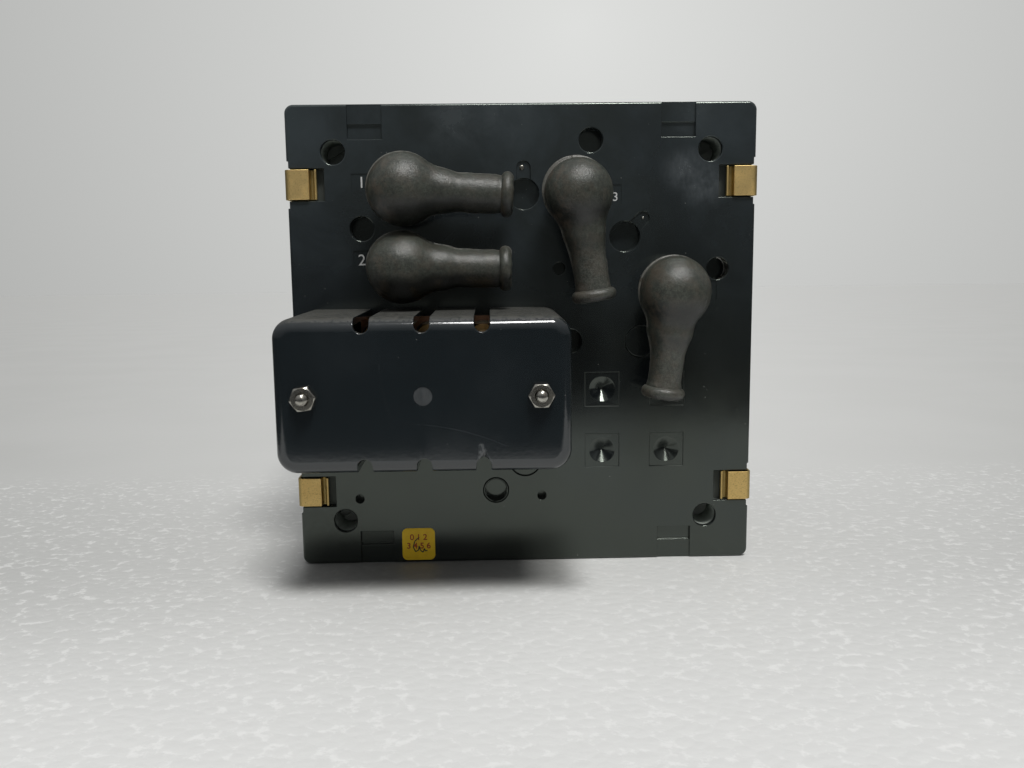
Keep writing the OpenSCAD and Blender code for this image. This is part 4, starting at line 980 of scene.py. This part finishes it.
def make_rivets():
    """Domed heads on the floors of the tabs."""
    shape = bmesh.new()
    for x, z, radius in RIVETS:
        rings = []
        for share in (1.0, 0.97, 0.85, 0.6, 0.3):
            r = radius * share * MM
            y = REAR + (RIVET_FLOOR - 0.45 * radius * math.sqrt(1 - share * share) - 0.02) * MM
            rings.append([shape.verts.new((x * MM + r * math.cos(a), y, z * MM + r * math.sin(a)))
                          for a in whole_turn(RIVET_STEPS)])
        ring_faces(shape, rings)
        shape.faces.new(rings[-1])
    mesh = skin_mesh(shape, "key_mark_rivets")
    smooth(mesh, 60)
    add_piece("key_mark_rivets", mesh, LOOKS["nickel"], "case")


make_rivets()


# Printed marks: lift of the ink over what it is printed on
INK_LIFT = 0.03 * MM


def add_text(name, words, size, place, facing, material, lift=0.02 * MM, bolder=0.0):
    """Flat lettering with its middle at place; facing, -1 or 1, is the way along Y that it looks."""
    curve = bpy.data.curves.new(name, "FONT")
    curve.body = words
    curve.size = size
    curve.align_x = "CENTER"
    curve.align_y = "CENTER"
    curve.extrude = lift / 2
    curve.offset = bolder
    made = add_object(name, curve)
    mesh = bpy.data.meshes.new_from_object(made.evaluated_get(bpy.context.evaluated_depsgraph_get()))
    bpy.data.objects.remove(made)
    turn = Matrix(((-facing, 0, 0), (0, 0, facing), (0, 1, 0)))
    mesh.transform(Matrix.Translation(place) @ turn.to_4x4())
    add_piece(name, mesh, material, "case")


def flat_shape(name, outlines, level, material):
    """Thin shapes printed on a plane at a level of Y, each an outline of (x, z) points."""
    shape = bmesh.new()
    for outline in outlines:
        shape.faces.new([shape.verts.new((x, level, z)) for x, z in outline])
    mesh = to_mesh(shape, name)
    add_piece(name, mesh, material, "case")


def stroke(points, width):
    """Outlines of the straight pieces of a line of a given width."""
    for (x0, z0), (x1, z1) in zip(points, points[1:]):
        length = math.hypot(x1 - x0, z1 - z0)
        nx, nz = -(z1 - z0) / length * width / 2, (x1 - x0) / length * width / 2
        yield [(x0 + nx, z0 + nz), (x1 + nx, z1 + nz), (x1 - nx, z1 - nz), (x0 - nx, z0 - nz)]


# Digits on the pads beside the terminals: offset from the stud and size, in mm
PAD_DEPTH = 0.2 * MM
DIGITS = {1: (-12.9, 2.6, 4.6), 2: (-12.7, 2.0, 4.6), 3: (11.8, -0.9, 3.6), 4: (11.6, -0.6, 3.6)}
for number, (dx, dz, size) in DIGITS.items():
    stud = mounts["terminal_stud_%d" % number]["pos_m"]
    place = (stud[0] + dx * MM, REAR + PAD_DEPTH - INK_LIFT, stud[2] + dz * MM)
    add_text("terminal_digit_%d" % number, str(number), size * MM, place, -1, INK_WHITE)

# Plain digits and a pen tick on the sticker, from its middle in mm
STICKER_ROWS = {1: (2.1, "0 1 2"), 2: (-0.6, "3 4 5 6")}
STICKER_TEXT = 2.6 * MM
STICKER_BOLDER = 0.05 * MM
PEN_W = 0.34 * MM
sticker_low, sticker_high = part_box("test_sticker")
sticker_mid = (sticker_low + sticker_high) / 2
for row, (dz, words) in STICKER_ROWS.items():
    place = (sticker_mid.x, sticker_low.y - INK_LIFT / 2, sticker_mid.z + dz * MM)
    add_text("sticker_row_%d" % row, words, STICKER_TEXT, place, -1, INK_BROWN,
             bolder=STICKER_BOLDER)
tick = [(0.2, 2.2), (-1.2, 0.9), (-1.7, -0.9), (-1.0, -2.4), (-0.1, -1.9), (0.1, -0.6), (0.5, -2.0),
        (1.3, -2.6), (1.7, -1.4), (2.0, -2.2), (2.6, -2.0)]
tick_points = [(sticker_mid.x + x * MM, sticker_mid.z + z * MM) for x, z in tick]
flat_shape("sticker_pen_tick", list(stroke(tick_points, PEN_W)), sticker_low.y - INK_LIFT, INK_PEN)

# Scale of the dial: a quarter arc about the pointer's pivot
DIAL_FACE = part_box("dial_plate")[1].y
PIVOT = next(j for j in record["behaviour"]["joints"] if j["name"] == "pointer_swing")["pos_m"]
SCALE_R = 80 * MM
ARC_STEPS = 90
ARC_W = 0.5 * MM
TICKS = 50
NUMBERS_OUT = 11.5 * MM
NUMBER_SIZE = 7 * MM
# Length and width of the long, middle and short ticks in mm
LONG_TICK = (6, 0.8)
MIDDLE_TICK = (4.4, 0.5)
SHORT_TICK = (3, 0.35)


def on_scale(radius, share):
    turn = math.pi / 2 * share
    return PIVOT[0] + radius * math.cos(turn), PIVOT[2] + radius * math.sin(turn)


marks = list(stroke([on_scale(SCALE_R, i / ARC_STEPS) for i in range(ARC_STEPS + 1)], ARC_W))
for i in range(TICKS + 1):
    length, width = LONG_TICK if i % 10 == 0 else MIDDLE_TICK if i % 5 == 0 else SHORT_TICK
    marks += stroke([on_scale(SCALE_R, i / TICKS), on_scale(SCALE_R + length * MM, i / TICKS)], width * MM)
flat_shape("dial_scale", marks, DIAL_FACE + INK_LIFT, INK_BLACK)
for i in range(6):
    x, z = on_scale(SCALE_R + NUMBERS_OUT, i / 5)
    place = (x, DIAL_FACE + INK_LIFT, z)
    add_text("dial_number_%d" % (20 * i), str(20 * i), NUMBER_SIZE, place, 1, INK_BLACK)


# Camera at the place and angle of the photograph
FOCAL_PX = 940
IMAGE_W_PX = 1024
SENSOR_MM = 36
CAMERA_TURN = (0.1395, -0.0226, -0.0117)

pitch, yaw, roll = CAMERA_TURN
level_view = Matrix(((1, 0, 0), (0, 0, -1), (0, 1, 0)))
to_camera = (Matrix.Rotation(roll, 3, "Z") @ Matrix.Rotation(pitch, 3, "X") @ Matrix.Rotation(yaw, 3, "Y")
             @ level_view)
camera_data = bpy.data.cameras.new("photo_camera")
camera_data.sensor_width = SENSOR_MM
camera_data.lens = FOCAL_PX / IMAGE_W_PX * SENSOR_MM
camera_data.clip_start = 0.01
camera = add_object("photo_camera", camera_data)
down_to_up = Matrix(((1, 0, 0), (0, -1, 0), (0, 0, -1)))
camera.matrix_world = Matrix.Translation(CAMERA_AT) @ (down_to_up @ to_camera).transposed().to_4x4()
bpy.context.scene.camera = camera


# Stage: a floor that touches the rear bottom edge of the case and the bottom of the bezel
FLOOR_FRONT = 0.29
FLOOR_SIDE = 0.28
FLOOR_WIDENS_AT = 0.1
FLOOR_BACK = 30
FLOOR_SPREAD = 24

rest_rear = Vector((0, REAR, CASE_LOW.z))
rest_front = Vector((0, BEZEL_LOW.y, BEZEL_LOW.z))
slope = math.atan2(rest_front.z - rest_rear.z, rest_front.y - rest_rear.y)


def make_floor():
    mesh = bpy.data.meshes.new("floor")
    right = [(FLOOR_SIDE, -FLOOR_FRONT, 0), (FLOOR_SIDE, FLOOR_WIDENS_AT, 0), (FLOOR_SPREAD, FLOOR_BACK, 0)]
    mesh.from_pydata(right + [(-x, y, z) for x, y, z in reversed(right)], [], [tuple(range(6))])
    mesh.materials.append(floor_look())
    made = add_object("floor", mesh)
    made.matrix_world = Matrix.Translation(rest_front) @ Matrix.Rotation(slope, 4, "X")


make_floor()


# Light: two soft lamps from above, and a room that is dark at the horizon and pale overhead
LAMPS = {"key_lamp": ((0.15, -0.29, 0.66), 1.3), "side_lamp": ((0.035, -0.33, 0.66), 0.85)}
LAMP_ANGLE = 12


def add_lamp(name, toward, strength):
    data = bpy.data.lights.new(name, "SUN")
    data.energy = strength
    data.angle = math.radians(LAMP_ANGLE)
    data.color = (1, 0.99, 0.97)
    made = add_object(name, data)
    made.rotation_euler = Vector(toward).to_track_quat("Z", "Y").to_euler()


for name, (toward, strength) in LAMPS.items():
    add_lamp(name, toward, strength)

# Light of the room by height of its direction, and the pale backdrop that the camera sees, with a painted
# glow
ROOM_STOPS = ((0.0, 0.04), (0.06, 0.11), (0.15, 0.15), (0.30, 0.18), (0.60, 0.34), (1.0, 0.46))
BACKDROP_BRIGHT = (0.733, 0.740, 0.725)
BACKDROP_DIM = (0.455, 0.460, 0.450)
GLOW_TOWARD = (0.091, 0.971, 0.220)


def make_world():
    world = bpy.data.worlds.new("studio")
    bpy.context.scene.world = world
    k = Tree(world, "Generated")
    ramp = k.node("ShaderNodeValToRGB", Fac=k.axis(k.place, "Z"))
    for i, (height, level) in enumerate(ROOM_STOPS):
        stop = ramp.color_ramp.elements[i] if i < 2 else ramp.color_ramp.elements.new(height)
        stop.position = height
        stop.color = (0.98 * level, 0.99 * level, level, 1)
    room = k.tree.nodes["Background"]
    k.feed(room.inputs["Color"], ramp.outputs["Color"])
    # Painted glow on the backdrop, dimming away from GLOW_TOWARD.
    fade = k.node("ShaderNodeMapRange", Value=k.distance(GLOW_TOWARD), From_Max=GLOW_REACH).outputs[0]
    backdrop = k.node("ShaderNodeBackground", Color=k.mix(fade, BACKDROP_BRIGHT, BACKDROP_DIM))
    path = k.node("ShaderNodeLightPath")
    seen = k.calc("MAXIMUM", path.outputs["Is Camera Ray"], path.outputs["Is Transmission Ray"])
    both = k.node("ShaderNodeMixShader", Fac=seen)
    k.feed(both.inputs[1], room.outputs[0])
    k.feed(both.inputs[2], backdrop.outputs[0])
    k.feed(k.tree.nodes["World Output"].inputs["Surface"], both.outputs[0])


make_world()

bpy.context.scene.view_settings.view_transform = "Standard"
